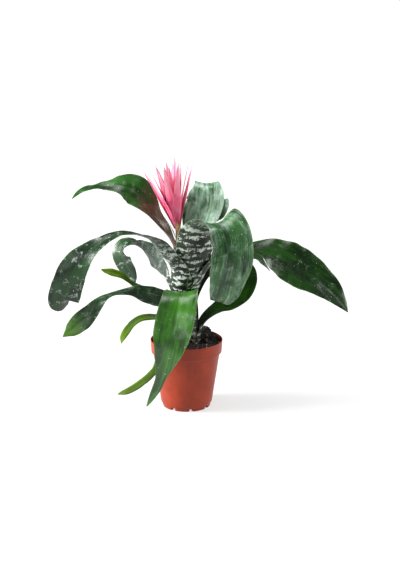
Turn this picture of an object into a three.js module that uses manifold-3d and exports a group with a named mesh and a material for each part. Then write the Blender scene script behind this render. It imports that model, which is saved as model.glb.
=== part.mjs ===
// Potted urn bromeliad: strap leaves round a water cup, a pink flower head, soil and a nursery pot.
// Units are millimetres, +Z is up, and the origin is on the pot's axis where the pot stands.
import * as THREE from "three";
import Module from "manifold-3d";

const wasm = await Module();
wasm.setup();

const DEG = Math.PI / 180;

// ---- pot ----
const RIM_RADIUS = 60;
const POT_HEIGHT = 115;
const BAND_HEIGHT = 22;
const BAND_LOWER_RADIUS = 58.6;
const BODY_TOP_RADIUS = 55.6;
const BODY_BOTTOM_RADIUS = 42.5;
const FOOT_RADIUS = 39.5;
const FOOT_HEIGHT = 6;
const FOOT_INNER_RADIUS = 36.5;
const WALL = 1.4;
const FLOOR_UNDERSIDE = 3;
const FLOOR_THICKNESS = 2;
const NOTCH_COUNT = 8;
const NOTCH_WIDTH = 8;
const NOTCH_HEIGHT = 4.6;
const NOTCH_TURN = 11;
const DRAIN_HOLE_RADIUS = 3.5;
const DRAIN_CIRCLE_RADIUS = 26;
const POT_SEGMENTS = 48;

// ---- soil ----
const SOIL_GAP = 0.4;
const SOIL_EDGE_LEVEL = 111.5;
const SOIL_CENTRE_LEVEL = 110;
const SOIL_SECTORS = 36;
const SOIL_RINGS = 7;
const MOUND = { x: 26, y: 38, height: 15, spread: 12 };

// ---- stem and the urn that the leaf bases form round it ----
const STEM_TOP = 113;
const STEM_ROOT = 78;
const STEM_TOP_RADIUS = 15.5;
const STEM_ROOT_RADIUS = 17;
const CORE_RADIUS = 6.2;
const LEAF_BASE = 114;
const WHORL_STEP = 2.4;
const SHEATH_THICKNESS = 1.1;
const BLADE_THICKNESS = 1.4;
const SHEATH_LEVELS = [114, 125, 145, 165, 185, 200, 220, 240, 270, 300];
const URN = [
  // height, radius of the innermost whorl, sideways lean of the axis
  [112, 8, 6],
  [150, 10, 3],
  [190, 14, -2],
  [230, 24, 2],
  [270, 31, 10],
  [310, 34, 17],
];
const HEAD = { x: -14, y: -4, z: 300, lean: 9 };
const STALK = [
  // the flower stalk leaves the urn's axis and leans to the left: x, y, z, radius
  [5.8, 0, 113, CORE_RADIUS],
  [3, 0, 150, CORE_RADIUS],
  [-3, 0, 190, 6],
  [-9, -1, 230, 5],
  [-13, -3, 270, 4.2],
  [HEAD.x, HEAD.y, HEAD.z, 3.5],
];

// ---- flower head ----
const HEAD_AXIS = [
  // height along the head's own axis, radius
  [10, 3.1],
  [25, 2.5],
  [44, 1.9],
  [50, 0.8],
];
const STALK_BRACTS = [
  { name: "stalk_bract_left", heading: 196, start: -9, length: 31, splay: 13, startRadius: 5.6, widest: 8 },
  { name: "stalk_bract_front", heading: 282, start: -6, length: 27, splay: 11, startRadius: 5.4, widest: 8 },
];
const BRACT_COUNT = 22;
const GOLDEN_ANGLE = 137.508;
const BRACT_FIRST_TURN = 20;
const BRACT_THICKNESS = 0.7;
const BRACT_CUP_LIMIT = 76;

// Blade stations: x, y, z, width, roll (deg, right side up), cup (deg across the blade).
const LEAVES = [
  {
    name: "leaf_upper_left", heading: 185, half: 42, whorl: 0, top: 270,
    blade: [
      [-26, -1, 284, 40, 0, 82], [-37, 0, 303, 34, 20, 84], [-50, 2, 321, 32, 34, 74],
      [-63, 3, 342, 42, 50, 60], [-79, 4, 362, 54, 62, 46], [-94, 4, 372, 48, 58, 38],
      [-108, 4, 375, 37, 44, 35], [-124, 4, 374, 29, 28, 36], [-140, 4, 373, 24, 14, 38],
      [-155, 4, 371, 22, 8, 36], [-168, 4, 367, 20, 12, 32], [-179, 4, 360, 14, 14, 24],
      [-187, 4, 352, 2, 12, 12],
    ],
  },
  {
    name: "leaf_back_centre", heading: 78, half: 48, whorl: 0, top: 300,
    blade: [
      [28, 37, 318, 60, 0, 72], [33, 41, 336, 63, 0, 54], [34, 46, 351, 61, 0, 50],
      [34, 53, 361, 47, 0, 50], [33, 65, 364, 38, 0, 46], [32, 84, 358, 37, 0, 40],
      [31, 104, 346, 34, 0, 36], [29, 120, 329, 26, 0, 28], [28, 130, 308, 2, 0, 12],
    ],
  },
  {
    name: "leaf_big_right", heading: -61, half: 84, whorl: 1, top: 300,
    blade: [
      [40, -36, 311, 94, -4, 122], [48, -44, 322, 86, -8, 92], [56, -51, 326, 76, -14, 64],
      [65, -58, 322, 68, -18, 44], [72, -66, 310, 66, -21, 30], [75, -73, 292, 66, -23, 24],
      [73, -78, 268, 68, -23, 22], [67, -79, 241, 60, -23, 22], [61, -75, 215, 48, -23, 22],
      [57, -67, 202, 38, -23, 20], [55, -58, 197, 29, -23, 18], [55, -50, 198, 16, -23, 14],
      [56, -45, 201, 2, -23, 10],
    ],
  },
  {
    name: "leaf_long_left", heading: 205, half: 68, whorl: 2, top: 240,
    blade: [
      [-34, -22, 260, 58, -10, 104], [-43, -29, 276, 50, -15, 78], [-52, -35, 290, 45, -15, 58],
      [-66, -42, 300, 38, -10, 48], [-86, -50, 307, 30, -2, 44], [-109, -58, 308, 26, 4, 42],
      [-131, -66, 300, 26, 16, 38], [-153, -73, 287, 33, 32, 34], [-170, -77, 271, 42, 48, 28],
      [-182, -80, 253, 48, 60, 24], [-189, -81, 234, 51, 65, 22], [-194, -80, 217, 52, 66, 20],
      [-198, -75, 205, 50, 66, 20], [-197, -67, 199, 42, 64, 18], [-193, -59, 199, 26, 60, 14],
      [-190, -54, 202, 2, 60, 10],
    ],
  },
  {
    name: "leaf_far_right", heading: -6, half: 60, whorl: 2, top: 220,
    blade: [
      [37, 1, 238, 56, -5, 92], [46, 8, 248, 48, -5, 70], [60, 17, 254, 42, 0, 50],
      [78, 26, 257, 40, 0, 40], [105, 32, 260, 42, -3, 35], [124, 35, 259, 51, -20, 28],
      [143, 36, 252, 62, -36, 24], [165, 35, 241, 72, -46, 22], [194, 32, 224, 73, -48, 20],
      [221, 28, 207, 58, -48, 20], [241, 25, 191, 44, -48, 18], [257, 21, 173, 25, -46, 15],
      [269, 17, 156, 2, -45, 10],
    ],
  },
  {
    name: "leaf_back_outer", heading: 97, half: 30, whorl: 1, top: 300,
    blade: [
      [17, 41, 312, 54, 0, 66], [27, 49, 321, 68, 0, 54], [34, 57, 328, 75, 0, 46],
      [36, 68, 331, 70, 0, 42], [36, 83, 326, 56, 0, 38], [35, 94, 314, 42, 0, 32],
      [34, 100, 298, 26, 0, 24], [34, 101, 280, 2, 0, 12],
    ],
  },
  {
    name: "leaf_left_folded", heading: 160, half: 53, whorl: 3, top: 185,
    blade: [
      [-30, 13, 206, 46, -20, 84], [-44, 27, 228, 52, -46, 58], [-57, 42, 245, 52, -62, 44],
      [-72, 54, 255, 46, -48, 36], [-86, 62, 260, 42, -12, 32], [-99, 67, 260, 40, 14, 32],
      [-108, 70, 253, 40, 44, 32], [-110, 72, 241, 40, 66, 30], [-105, 73, 228, 38, 76, 28],
      [-98, 72, 214, 32, 80, 24], [-91, 70, 202, 20, 80, 18], [-87, 68, 192, 2, 80, 10],
    ],
  },
  {
    name: "leaf_right_back", heading: 35, half: 43, whorl: 3, top: 185,
    blade: [
      [24, 19, 208, 42, 0, 76], [38, 31, 226, 37, -5, 58], [58, 46, 240, 35, -15, 44],
      [82, 63, 247, 35, -25, 34], [107, 80, 241, 33, -34, 28], [125, 91, 227, 26, -38, 22],
      [142, 98, 204, 2, -38, 10],
    ],
  },
  {
    name: "leaf_front", heading: 275, half: 54, whorl: 3, top: 185,
    blade: [
      [-3, -31, 200, 46, 0, 84], [-6, -43, 207, 53, 0, 58], [-8, -56, 208, 56, 0, 42],
      [-11, -69, 202, 58, 0, 34], [-14, -80, 191, 61, 0, 30], [-18, -88, 175, 63, -2, 28],
      [-23, -95, 152, 61, -4, 26], [-29, -100, 124, 47, -6, 26], [-37, -102, 95, 26, -8, 28],
      [-42, -101, 78, 17, -9, 28], [-48, -100, 62, 15, -10, 26], [-56, -98, 46, 10, -10, 20],
      [-64, -95, 30, 2, -10, 10],
    ],
  },
  {
    name: "leaf_lower_left", heading: 195, half: 38, whorl: 4, top: 165,
    blade: [
      [-28, -10, 177, 32, 20, 66], [-37, -18, 188, 34, 36, 54], [-52, -28, 195, 36, 45, 44],
      [-72, -37, 202, 34, 40, 38], [-94, -46, 208, 25, 20, 38], [-113, -53, 208, 18, 5, 38],
      [-129, -59, 204, 18, 16, 38], [-142, -64, 195, 21, 42, 34], [-155, -70, 181, 28, 60, 28],
      [-170, -75, 168, 32, 66, 24], [-184, -79, 156, 25, 66, 20], [-192, -81, 150, 13, 66, 15],
      [-199, -83, 145, 2, 66, 10],
    ],
  },
  {
    name: "leaf_lower_right", heading: 0, half: 44, whorl: 4, top: 125,
    blade: [
      [27, 3, 138, 32, -10, 84], [38, 8, 152, 32, -18, 68], [54, 11, 165, 33, -28, 52],
      [73, 14, 176, 36, -48, 38], [90, 18, 192, 41, -68, 28], [97, 22, 212, 43, -76, 24],
      [98, 26, 230, 32, -78, 20], [95, 29, 244, 2, -78, 10],
    ],
  },
  {
    name: "leaf_back_low", heading: 95, half: 38, whorl: 4, top: 165,
    blade: [
      [-1, 32, 185, 34, 0, 66], [0, 50, 202, 38, 0, 50], [0, 76, 216, 42, 0, 38],
      [-1, 106, 223, 44, 4, 32], [-2, 140, 220, 42, 6, 28], [-3, 172, 204, 36, 6, 26],
      [-4, 198, 176, 26, 6, 22], [-4, 214, 140, 2, 6, 10],
    ],
  },
  {
    name: "offset_leaf_upper", heading: 165, half: 15, whorl: 5, top: 125,
    blade: [
      [-20, 7, 143, 11, 0, 34], [-27, 11, 163, 13, 10, 34], [-36, 15, 180, 14, 20, 34],
      [-48, 18, 189, 14, 34, 34], [-66, 20, 192, 14, 44, 34], [-82, 20, 199, 13, 30, 34],
      [-95, 19, 208, 11, 8, 34], [-106, 18, 218, 12, 30, 34], [-123, 16, 225, 14, 44, 30],
      [-134, 15, 228, 9, 40, 20], [-141, 14, 231, 1.6, 40, 10],
    ],
  },
  {
    name: "offset_leaf_middle", heading: 194, half: 11, whorl: 5, top: 125,
    blade: [
      [-25, -14, 142, 9, 0, 30], [-32, -19, 152, 11, 8, 30], [-44, -24, 159, 13, 20, 30],
      [-60, -28, 161, 14, 34, 30], [-74, -32, 160, 13, 44, 30], [-87, -34, 153, 12, 52, 30],
      [-97, -36, 141, 13, 58, 28], [-104, -37, 130, 11, 56, 20], [-107, -38, 119, 1.6, 54, 10],
    ],
  },
  {
    name: "offset_leaf_low", heading: 225, half: 11, whorl: 5, top: 125,
    blade: [
      [-15, -24, 136, 9, 0, 30], [-24, -40, 141, 11, 0, 30], [-35, -58, 133, 12, 10, 30],
      [-42, -68, 112, 12, 20, 30], [-49, -72, 88, 12, 30, 30], [-62, -75, 73, 12, 40, 30],
      [-79, -78, 60, 12, 46, 30], [-95, -80, 51, 11, 50, 26], [-105, -81, 48, 7, 50, 18],
      [-112, -82, 46, 1.6, 50, 10],
    ],
  },
];

const COLOURS = {
  pot: 0xb85a3c,
  soil: 0x2a1c15,
  stem: 0x6e5a3e,
  leaf: 0x2f5a2c,
  offset: 0x86a93a,
  bract: 0xe88aa6,
  stalkBract: 0xb9b35a,
};

function surface(colour, roughness) {
  return new THREE.MeshStandardMaterial({ color: colour, roughness, side: THREE.FrontSide });
}

function meshFromArrays(name, positions, indices, colour, roughness = 0.6) {
  const geometry = new THREE.BufferGeometry();
  geometry.setAttribute("position", new THREE.Float32BufferAttribute(positions, 3));
  geometry.setIndex(indices);
  geometry.computeVertexNormals();
  const mesh = new THREE.Mesh(geometry, surface(colour, roughness));
  mesh.name = name;
  return mesh;
}

function solidFromArrays(positions, indices) {
  const mesh = new wasm.Mesh({
    numProp: 3,
    vertProperties: new Float32Array(positions),
    triVerts: new Uint32Array(indices),
  });
  return new wasm.Manifold(mesh);
}

function meshFromSolid(name, solid, colour, roughness) {
  const mesh = solid.getMesh();
  return meshFromArrays(name, Array.from(mesh.vertProperties), Array.from(mesh.triVerts), colour, roughness);
}

// Linear reading of a table whose first column rises.
function readTable(table, key, column) {
  const last = table.length - 1;
  if (key <= table[0][0]) return table[0][column];
  if (key >= table[last][0]) return table[last][column];
  const upper = table.findIndex((row) => row[0] >= key);
  const a = table[upper - 1];
  const b = table[upper];
  const share = (key - a[0]) / (b[0] - a[0]);
  return a[column] + (b[column] - a[column]) * share;
}

const urnRadius = (height, whorl) => readTable(URN, height, 1) + whorl * WHORL_STEP;
const urnAxis = (height) => readTable(URN, height, 2);

// ---- pot ----
function potProfile() {
  const bandBottom = POT_HEIGHT - BAND_HEIGHT;
  const floorTop = FLOOR_UNDERSIDE + FLOOR_THICKNESS;
  return [
    [0, FLOOR_UNDERSIDE],
    [FOOT_INNER_RADIUS, FLOOR_UNDERSIDE],
    [FOOT_INNER_RADIUS, 0],
    [FOOT_RADIUS, 0],
    [FOOT_RADIUS + 1, FOOT_HEIGHT],
    [BODY_BOTTOM_RADIUS, FOOT_HEIGHT + 1.5],
    [BODY_TOP_RADIUS, bandBottom],
    [BAND_LOWER_RADIUS, bandBottom + 1],
    [RIM_RADIUS, POT_HEIGHT - 0.6],
    [RIM_RADIUS - 0.6, POT_HEIGHT],
    [RIM_RADIUS - WALL, POT_HEIGHT - 0.4],
    [BAND_LOWER_RADIUS - WALL, bandBottom + 3],
    [BODY_TOP_RADIUS - WALL, bandBottom + 1],
    [BODY_BOTTOM_RADIUS - WALL, floorTop + 5],
    [BODY_BOTTOM_RADIUS - WALL - 2, floorTop],
    [0, floorTop],
  ];
}

function buildPot() {
  let pot = wasm.Manifold.revolve([potProfile()], POT_SEGMENTS);
  for (let i = 0; i < NOTCH_COUNT; i++) {
    const turn = NOTCH_TURN + (i * 360) / NOTCH_COUNT;
    const notch = wasm.Manifold.cube([16, NOTCH_WIDTH, 2 * NOTCH_HEIGHT], true)
      .translate([FOOT_INNER_RADIUS + 7.95, 0, 0])
      .rotate([0, 0, turn]);
    pot = pot.subtract(notch);
  }
  for (let i = 0; i < NOTCH_COUNT; i++) {
    const turn = NOTCH_TURN + (i * 360) / NOTCH_COUNT;
    const hole = wasm.Manifold.cylinder(12, DRAIN_HOLE_RADIUS, DRAIN_HOLE_RADIUS, 12)
      .translate([DRAIN_CIRCLE_RADIUS, 0, -2])
      .rotate([0, 0, turn]);
    pot = pot.subtract(hole);
  }
  return meshFromSolid("pot", pot, COLOURS.pot, 0.55);
}

// ---- soil ----
function soilInnerWall(height) {
  const bandBottom = POT_HEIGHT - BAND_HEIGHT;
  const low = [FLOOR_UNDERSIDE + FLOOR_THICKNESS + 5, BODY_BOTTOM_RADIUS - WALL];
  const table = [low, [bandBottom + 1, BODY_TOP_RADIUS - WALL],
    [bandBottom + 3, BAND_LOWER_RADIUS - WALL], [POT_HEIGHT, RIM_RADIUS - WALL]];
  return readTable(table, height, 1) * Math.cos(Math.PI / POT_SEGMENTS) - SOIL_GAP;
}

function soilHeight(x, y) {
  const share = Math.min(1, Math.hypot(x, y) / RIM_RADIUS);
  const slope = SOIL_CENTRE_LEVEL + (SOIL_EDGE_LEVEL - SOIL_CENTRE_LEVEL) * share * share;
  const lumps = 1.1 * Math.sin(x * 0.21 + 1) * Math.cos(y * 0.17) + 0.7 * Math.sin(x * 0.43 - y * 0.37);
  const away = ((x - MOUND.x) ** 2 + (y - MOUND.y) ** 2) / (2 * MOUND.spread ** 2);
  return slope + lumps + MOUND.height * Math.exp(-away);
}

function buildSoil() {
  const positions = [];
  const indices = [];
  const floorTop = FLOOR_UNDERSIDE + FLOOR_THICKNESS + SOIL_GAP;
  const bandBottom = POT_HEIGHT - BAND_HEIGHT;
  const wallLevels = [floorTop, floorTop + 5, bandBottom];
  const wallRadii = [BODY_BOTTOM_RADIUS - WALL - 3.4, soilInnerWall(floorTop + 5), soilInnerWall(bandBottom)];
  const rings = wallLevels.map((z, i) => (angle) => [
    wallRadii[i] * Math.cos(angle), wallRadii[i] * Math.sin(angle), z]);
  for (let r = SOIL_RINGS; r >= 1; r--) {
    const radius = soilInnerWall(bandBottom + 4) * (r / SOIL_RINGS) - 0.2;
    rings.push((angle) => {
      const x = radius * Math.cos(angle);
      const y = radius * Math.sin(angle);
      return [x, y, soilHeight(x, y)];
    });
  }
  for (const ring of rings) {
    for (let s = 0; s < SOIL_SECTORS; s++) positions.push(...ring((s / SOIL_SECTORS) * 2 * Math.PI));
  }
  for (let r = 0; r < rings.length - 1; r++) addBand(indices, r * SOIL_SECTORS, SOIL_SECTORS);
  const bottom = positions.length / 3;
  positions.push(0, 0, floorTop);
  const top = bottom + 1;
  positions.push(0, 0, soilHeight(0, 0));
  const lastRing = (rings.length - 1) * SOIL_SECTORS;
  for (let s = 0; s < SOIL_SECTORS; s++) {
    const next = (s + 1) % SOIL_SECTORS;
    indices.push(bottom, next, s);
    indices.push(top, lastRing + s, lastRing + next);
  }
  const pit = wasm.Manifold.cylinder(60, STEM_ROOT_RADIUS + SOIL_GAP, STEM_ROOT_RADIUS + SOIL_GAP, 24)
    .translate([urnAxis(LEAF_BASE), 0, STEM_ROOT - SOIL_GAP]);
  return meshFromSolid("soil", solidFromArrays(positions, indices).subtract(pit), COLOURS.soil, 0.95);
}

// Two triangles between each pair of neighbouring points of a ring and the ring after it.
function addBand(indices, start, count) {
  for (let i = 0; i < count; i++) {
    const next = (i + 1) % count;
    indices.push(start + i, start + next, start + count + next);
    indices.push(start + i, start + count + next, start + count + i);
  }
}

// ---- stem with the flower stalk, one grown piece ----
function buildStem() {
  const sides = 16;
  const rings = [
    [urnAxis(LEAF_BASE), 0, STEM_ROOT, STEM_ROOT_RADIUS - 1],
    [urnAxis(LEAF_BASE), 0, SOIL_EDGE_LEVEL, STEM_ROOT_RADIUS],
    [urnAxis(LEAF_BASE), 0, STEM_TOP, STEM_TOP_RADIUS],
    ...STALK.map((row, i) => (i === 0 ? [row[0], row[1], STEM_TOP + 0.2, row[3]] : row)),
  ];
  for (const [height, radius] of HEAD_AXIS) {
    const point = headPoint(0, 0, height);
    rings.push([point.x, point.y, point.z, radius]);
  }
  const positions = [];
  const indices = [];
  for (const [x, y, z, radius] of rings) {
    for (let s = 0; s < sides; s++) {
      const angle = (s / sides) * 2 * Math.PI;
      positions.push(x + radius * Math.cos(angle), y + radius * Math.sin(angle), z);
    }
  }
  for (let r = 0; r < rings.length - 1; r++) addBand(indices, r * sides, sides);
  closeEnds(positions, indices, sides, rings.length);
  return meshFromArrays("stem", positions, indices, COLOURS.stem, 0.7);
}

function closeEnds(positions, indices, count, ringCount) {
  for (const end of [0, ringCount - 1]) {
    const start = end * count;
    const centre = positions.length / 3;
    const sum = [0, 0, 0];
    for (let i = 0; i < count; i++) {
      for (let k = 0; k < 3; k++) sum[k] += positions[(start + i) * 3 + k] / count;
    }
    positions.push(...sum);
    for (let i = 0; i < count; i++) {
      const next = (i + 1) % count;
      if (end === 0) indices.push(centre, start + next, start + i);
      else indices.push(centre, start + i, start + next);
    }
  }
}

// ---- leaves and bracts: one swept strap with a cupped, sharp-edged cross-section ----
const TOP_POINTS = 9;
const UNDER_POINTS = 7;

// Height-wise stations inside the urn: level rings that share the urn's axis.
function sheathStations(leaf) {
  const angle = leaf.heading * DEG;
  return SHEATH_LEVELS.filter((z) => z <= leaf.top).map((z) => {
    const radius = urnRadius(z, leaf.whorl);
    const point = new THREE.Vector3(urnAxis(z) + radius * Math.cos(angle), radius * Math.sin(angle), z);
    const width = radius * 2 * leaf.half * DEG;
    return { point, width, roll: 0, cup: 2 * leaf.half, level: 1, thickness: SHEATH_THICKNESS };
  });
}

function bladeStations(leaf) {
  return leaf.blade.map(([x, y, z, width, roll, cup], i) => ({
    point: new THREE.Vector3(x, y, z),
    width,
    roll,
    cup,
    level: i === 0 ? 0.5 : 0,
    thickness: Math.min(BLADE_THICKNESS, 0.25 + width * 0.06),
  }));
}

// Adds one station half-way between each pair in the blade, on a Catmull-Rom curve.
function smoothStations(stations, firstBlade) {
  const curve = new THREE.CatmullRomCurve3(stations.map((s) => s.point), false, "catmullrom", 0.5);
  const last = stations.length - 1;
  const result = [];
  stations.forEach((station, i) => {
    result.push({ ...station, tangent: curve.getTangent(i / last) });
    if (i >= firstBlade - 1 && i < last) {
      const after = stations[i + 1];
      const mid = { point: curve.getPoint((i + 0.5) / last), tangent: curve.getTangent((i + 0.5) / last) };
      for (const key of ["width", "roll", "cup", "level", "thickness"]) {
        mid[key] = (station[key] + after[key]) / 2;
      }
      result.push(mid);
    }
  });
  return result;
}

function crossSection(station, heading) {
  const right = new THREE.Vector3(Math.sin(heading), -Math.cos(heading), 0);
  const tangent = station.tangent.clone().normalize();
  const side = right.clone().addScaledVector(tangent, -right.dot(tangent)).normalize();
  const inward = new THREE.Vector3().crossVectors(side, tangent).normalize();
  const flatInward = new THREE.Vector3(-Math.cos(heading), -Math.sin(heading), 0);
  inward.lerp(flatInward, station.level).normalize();
  side.lerp(right, station.level).normalize();
  const roll = station.roll * DEG;
  const rolledSide = side.clone().multiplyScalar(Math.cos(roll)).addScaledVector(inward, Math.sin(roll));
  const rolledUp = inward.clone().multiplyScalar(Math.cos(roll)).addScaledVector(side, -Math.sin(roll));
  const cup = Math.max(station.cup, 4) * DEG;
  const radius = station.width / cup;
  const place = (share, depth) => {
    const phi = (share * cup) / 2;
    const reach = radius - depth;
    return station.point.clone()
      .addScaledVector(rolledSide, reach * Math.sin(phi))
      .addScaledVector(rolledUp, radius - reach * Math.cos(phi));
  };
  const points = [];
  for (let i = 0; i < TOP_POINTS; i++) {
    const share = -1 + (2 * i) / (TOP_POINTS - 1);
    const depth = station.thickness * (1 - share ** 4);
    points.push(place(share, depth));
  }
  for (let i = 0; i < UNDER_POINTS; i++) {
    const share = 1 - (2 * (i + 1)) / (UNDER_POINTS + 1);
    points.push(place(share, 0));
  }
  return points;
}

// Closes a strap's end with a strip between its upper and under points, which fits a thin cupped shape.
function capStrap(indices, start, facesBack) {
  const count = TOP_POINTS + UNDER_POINTS;
  const add = (a, b, c) => {
    if (facesBack) indices.push(start + a, start + c, start + b);
    else indices.push(start + a, start + b, start + c);
  };
  const last = TOP_POINTS - 1;
  add(0, 1, count - 1);
  for (let i = 1; i < last - 1; i++) {
    add(i, i + 1, count - i - 1);
    add(i, count - i - 1, count - i);
  }
  add(last - 1, last, last + 1);
}

function strapMesh(name, stations, heading, colour, transform) {
  const positions = [];
  const indices = [];
  for (const station of stations) {
    for (const point of crossSection(station, heading)) {
      if (transform) point.applyMatrix4(transform);
      positions.push(point.x, point.y, point.z);
    }
  }
  const count = TOP_POINTS + UNDER_POINTS;
  for (let r = 0; r < stations.length - 1; r++) addBand(indices, r * count, count);
  capStrap(indices, 0, true);
  capStrap(indices, (stations.length - 1) * count, false);
  return meshFromArrays(name, positions, indices, colour, 0.4);
}

function buildLeaf(leaf) {
  const sheath = sheathStations(leaf);
  const stations = smoothStations([...sheath, ...bladeStations(leaf)], sheath.length);
  const colour = leaf.name.startsWith("offset") ? COLOURS.offset : COLOURS.leaf;
  return strapMesh(leaf.name, stations, leaf.heading * DEG, colour);
}

// ---- flower head ----
function headMatrix() {
  const matrix = new THREE.Matrix4().makeRotationY(-HEAD.lean * DEG);
  matrix.setPosition(HEAD.x, HEAD.y, HEAD.z);
  return matrix;
}

function headPoint(x, y, z) {
  return new THREE.Vector3(x, y, z).applyMatrix4(headMatrix());
}

// Size and set of each bract, from the lowest (share 0) to the topmost (share 1).
function bractShape(share, heading) {
  return {
    start: 3 + 36 * share,
    length: (118 - 48 * share) * (1.01 + 0.07 * Math.cos(heading)),
    splay: 20.5 - 15 * share,
    startRadius: 4.6 - 1.2 * share,
    widest: 17 - 3 * share,
  };
}

function bractStations(shape, heading) {
  const { start, length, splay, startRadius, widest } = shape;
  const steps = 7;
  const stations = [];
  let radius = startRadius;
  let height = start;
  for (let i = 0; i <= steps; i++) {
    const t = i / steps;
    const angle = splay * (0.85 + 0.4 * t) * DEG;
    if (i > 0) {
      radius += (length / steps) * Math.sin(angle);
      height += (length / steps) * Math.cos(angle);
    }
    const outline = Math.min(1, 0.42 + 1.9 * t) * Math.min(1, ((1 - t) / 0.62) ** 0.85);
    const width = Math.max(0.8, Math.min(widest * outline, radius * BRACT_CUP_LIMIT * DEG));
    stations.push({
      point: new THREE.Vector3(radius * Math.cos(heading), radius * Math.sin(heading), height),
      tangent: new THREE.Vector3(
        Math.sin(angle) * Math.cos(heading), Math.sin(angle) * Math.sin(heading), Math.cos(angle)),
      width,
      roll: 0,
      cup: width / radius / DEG,
      level: 0,
      thickness: Math.min(BRACT_THICKNESS, 0.1 + width * 0.05),
    });
  }
  return stations;
}

function buildBract(index) {
  const share = index / (BRACT_COUNT - 1);
  const heading = (BRACT_FIRST_TURN + index * GOLDEN_ANGLE) * DEG;
  const name = `bract_${String(index + 1).padStart(2, "0")}`;
  return strapMesh(name, bractStations(bractShape(share, heading), heading), heading, COLOURS.bract, headMatrix());
}

function buildStalkBract(shape) {
  const heading = shape.heading * DEG;
  return strapMesh(shape.name, bractStations(shape, heading), heading, COLOURS.stalkBract, headMatrix());
}

const group = new THREE.Group();
group.name = "potted_bromeliad";
group.add(buildPot());
group.add(buildSoil());
group.add(buildStem());
for (const leaf of LEAVES) group.add(buildLeaf(leaf));
for (const shape of STALK_BRACTS) group.add(buildStalkBract(shape));
for (let i = 0; i < BRACT_COUNT; i++) group.add(buildBract(i));

export default group;
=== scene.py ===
"""Potted urn bromeliad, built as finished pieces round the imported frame.

The arching strap leaves, the flower head, the stem, the potting mix and the nursery pot are each
meshed here from the same plan of sizes as the frame, with finer surface detail and procedural
finishes. Sizes in the plans are millimetres; meshes are in metres in the frame's own axes.
"""

import logging
import math
from dataclasses import dataclass, field
from enum import Enum
from typing import Mapping, Optional, Sequence, Union

import bpy
import numpy as np
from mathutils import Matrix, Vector, noise


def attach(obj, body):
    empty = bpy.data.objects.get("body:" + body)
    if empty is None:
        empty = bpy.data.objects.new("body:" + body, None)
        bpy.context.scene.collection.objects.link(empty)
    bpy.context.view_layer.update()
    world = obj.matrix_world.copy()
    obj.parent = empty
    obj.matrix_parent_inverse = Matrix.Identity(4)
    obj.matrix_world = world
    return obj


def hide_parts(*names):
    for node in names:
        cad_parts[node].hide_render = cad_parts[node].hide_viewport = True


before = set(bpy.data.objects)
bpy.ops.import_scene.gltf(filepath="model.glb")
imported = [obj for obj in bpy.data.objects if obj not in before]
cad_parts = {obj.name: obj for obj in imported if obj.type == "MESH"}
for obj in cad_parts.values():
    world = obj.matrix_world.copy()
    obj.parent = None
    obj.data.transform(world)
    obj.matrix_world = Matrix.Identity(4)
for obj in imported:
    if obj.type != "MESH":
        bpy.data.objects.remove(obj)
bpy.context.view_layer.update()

LOG = logging.getLogger("bromeliad")
MM = 0.001
BODY = "root"
RIM_RADIUS = 60.0
WHOLE_TURN = 6.28
FLOOR_HALF = 20
BIT_TONE = "bit_tone"

Colour = tuple[float, float, float]


def srgb(red: float, green: float, blue: float) -> Colour:
    """Turns a display colour of 0 to 255 a channel into linear light.

    Args:
        red: Red channel, 0 to 255.
        green: Green channel, 0 to 255.
        blue: Blue channel, 0 to 255.

    Returns:
        The linear colour.
    """
    def linear(channel: float) -> float:
        """One channel, display to linear."""
        share = channel / 255
        return share / 12.92 if share <= 0.04045 else ((share + 0.055) / 1.055) ** 2.4

    return linear(red), linear(green), linear(blue)


# ---- Shader graphs ----

Value = Union["Wire", float]


class Wire:
    """One output socket of a shader graph, with arithmetic that adds Math nodes."""

    def __init__(self, graph: "ShaderGraph", socket: bpy.types.NodeSocket) -> None:
        """Keeps the graph and the socket that the value comes from."""
        self.graph = graph
        self.socket = socket

    def __add__(self, other: Value) -> "Wire":
        """Sum."""
        return self.graph.maths("ADD", self, other)

    def __radd__(self, other: Value) -> "Wire":
        """Sum with a number on the left."""
        return self.graph.maths("ADD", other, self)

    def __sub__(self, other: Value) -> "Wire":
        """Difference."""
        return self.graph.maths("SUBTRACT", self, other)

    def __rsub__(self, other: Value) -> "Wire":
        """Difference from a number."""
        return self.graph.maths("SUBTRACT", other, self)

    def __mul__(self, other: Value) -> "Wire":
        """Product."""
        return self.graph.maths("MULTIPLY", self, other)

    def __rmul__(self, other: Value) -> "Wire":
        """Product with a number on the left."""
        return self.graph.maths("MULTIPLY", other, self)

    def __truediv__(self, other: Value) -> "Wire":
        """Quotient."""
        return self.graph.maths("DIVIDE", self, other)

    def __pow__(self, other: Value) -> "Wire":
        """Power."""
        return self.graph.maths("POWER", self, other)

    def sine(self) -> "Wire":
        """Sine of the value in radians."""
        return self.graph.maths("SINE", self)

    def most(self, other: Value) -> "Wire":
        """The larger of two values."""
        return self.graph.maths("MAXIMUM", self, other)

    def rise(self, low: float, high: float) -> "Wire":
        """Smooth step from 0 below low to 1 above high; high may be the smaller one."""
        node = self.graph.node(
            "ShaderNodeMapRange",
            {"interpolation_type": "SMOOTHSTEP", "clamp": True},
            {"Value": self, "From Min": low, "From Max": high, "To Min": 0.0, "To Max": 1.0},
        )
        return Wire(self.graph, node.outputs["Result"])


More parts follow.
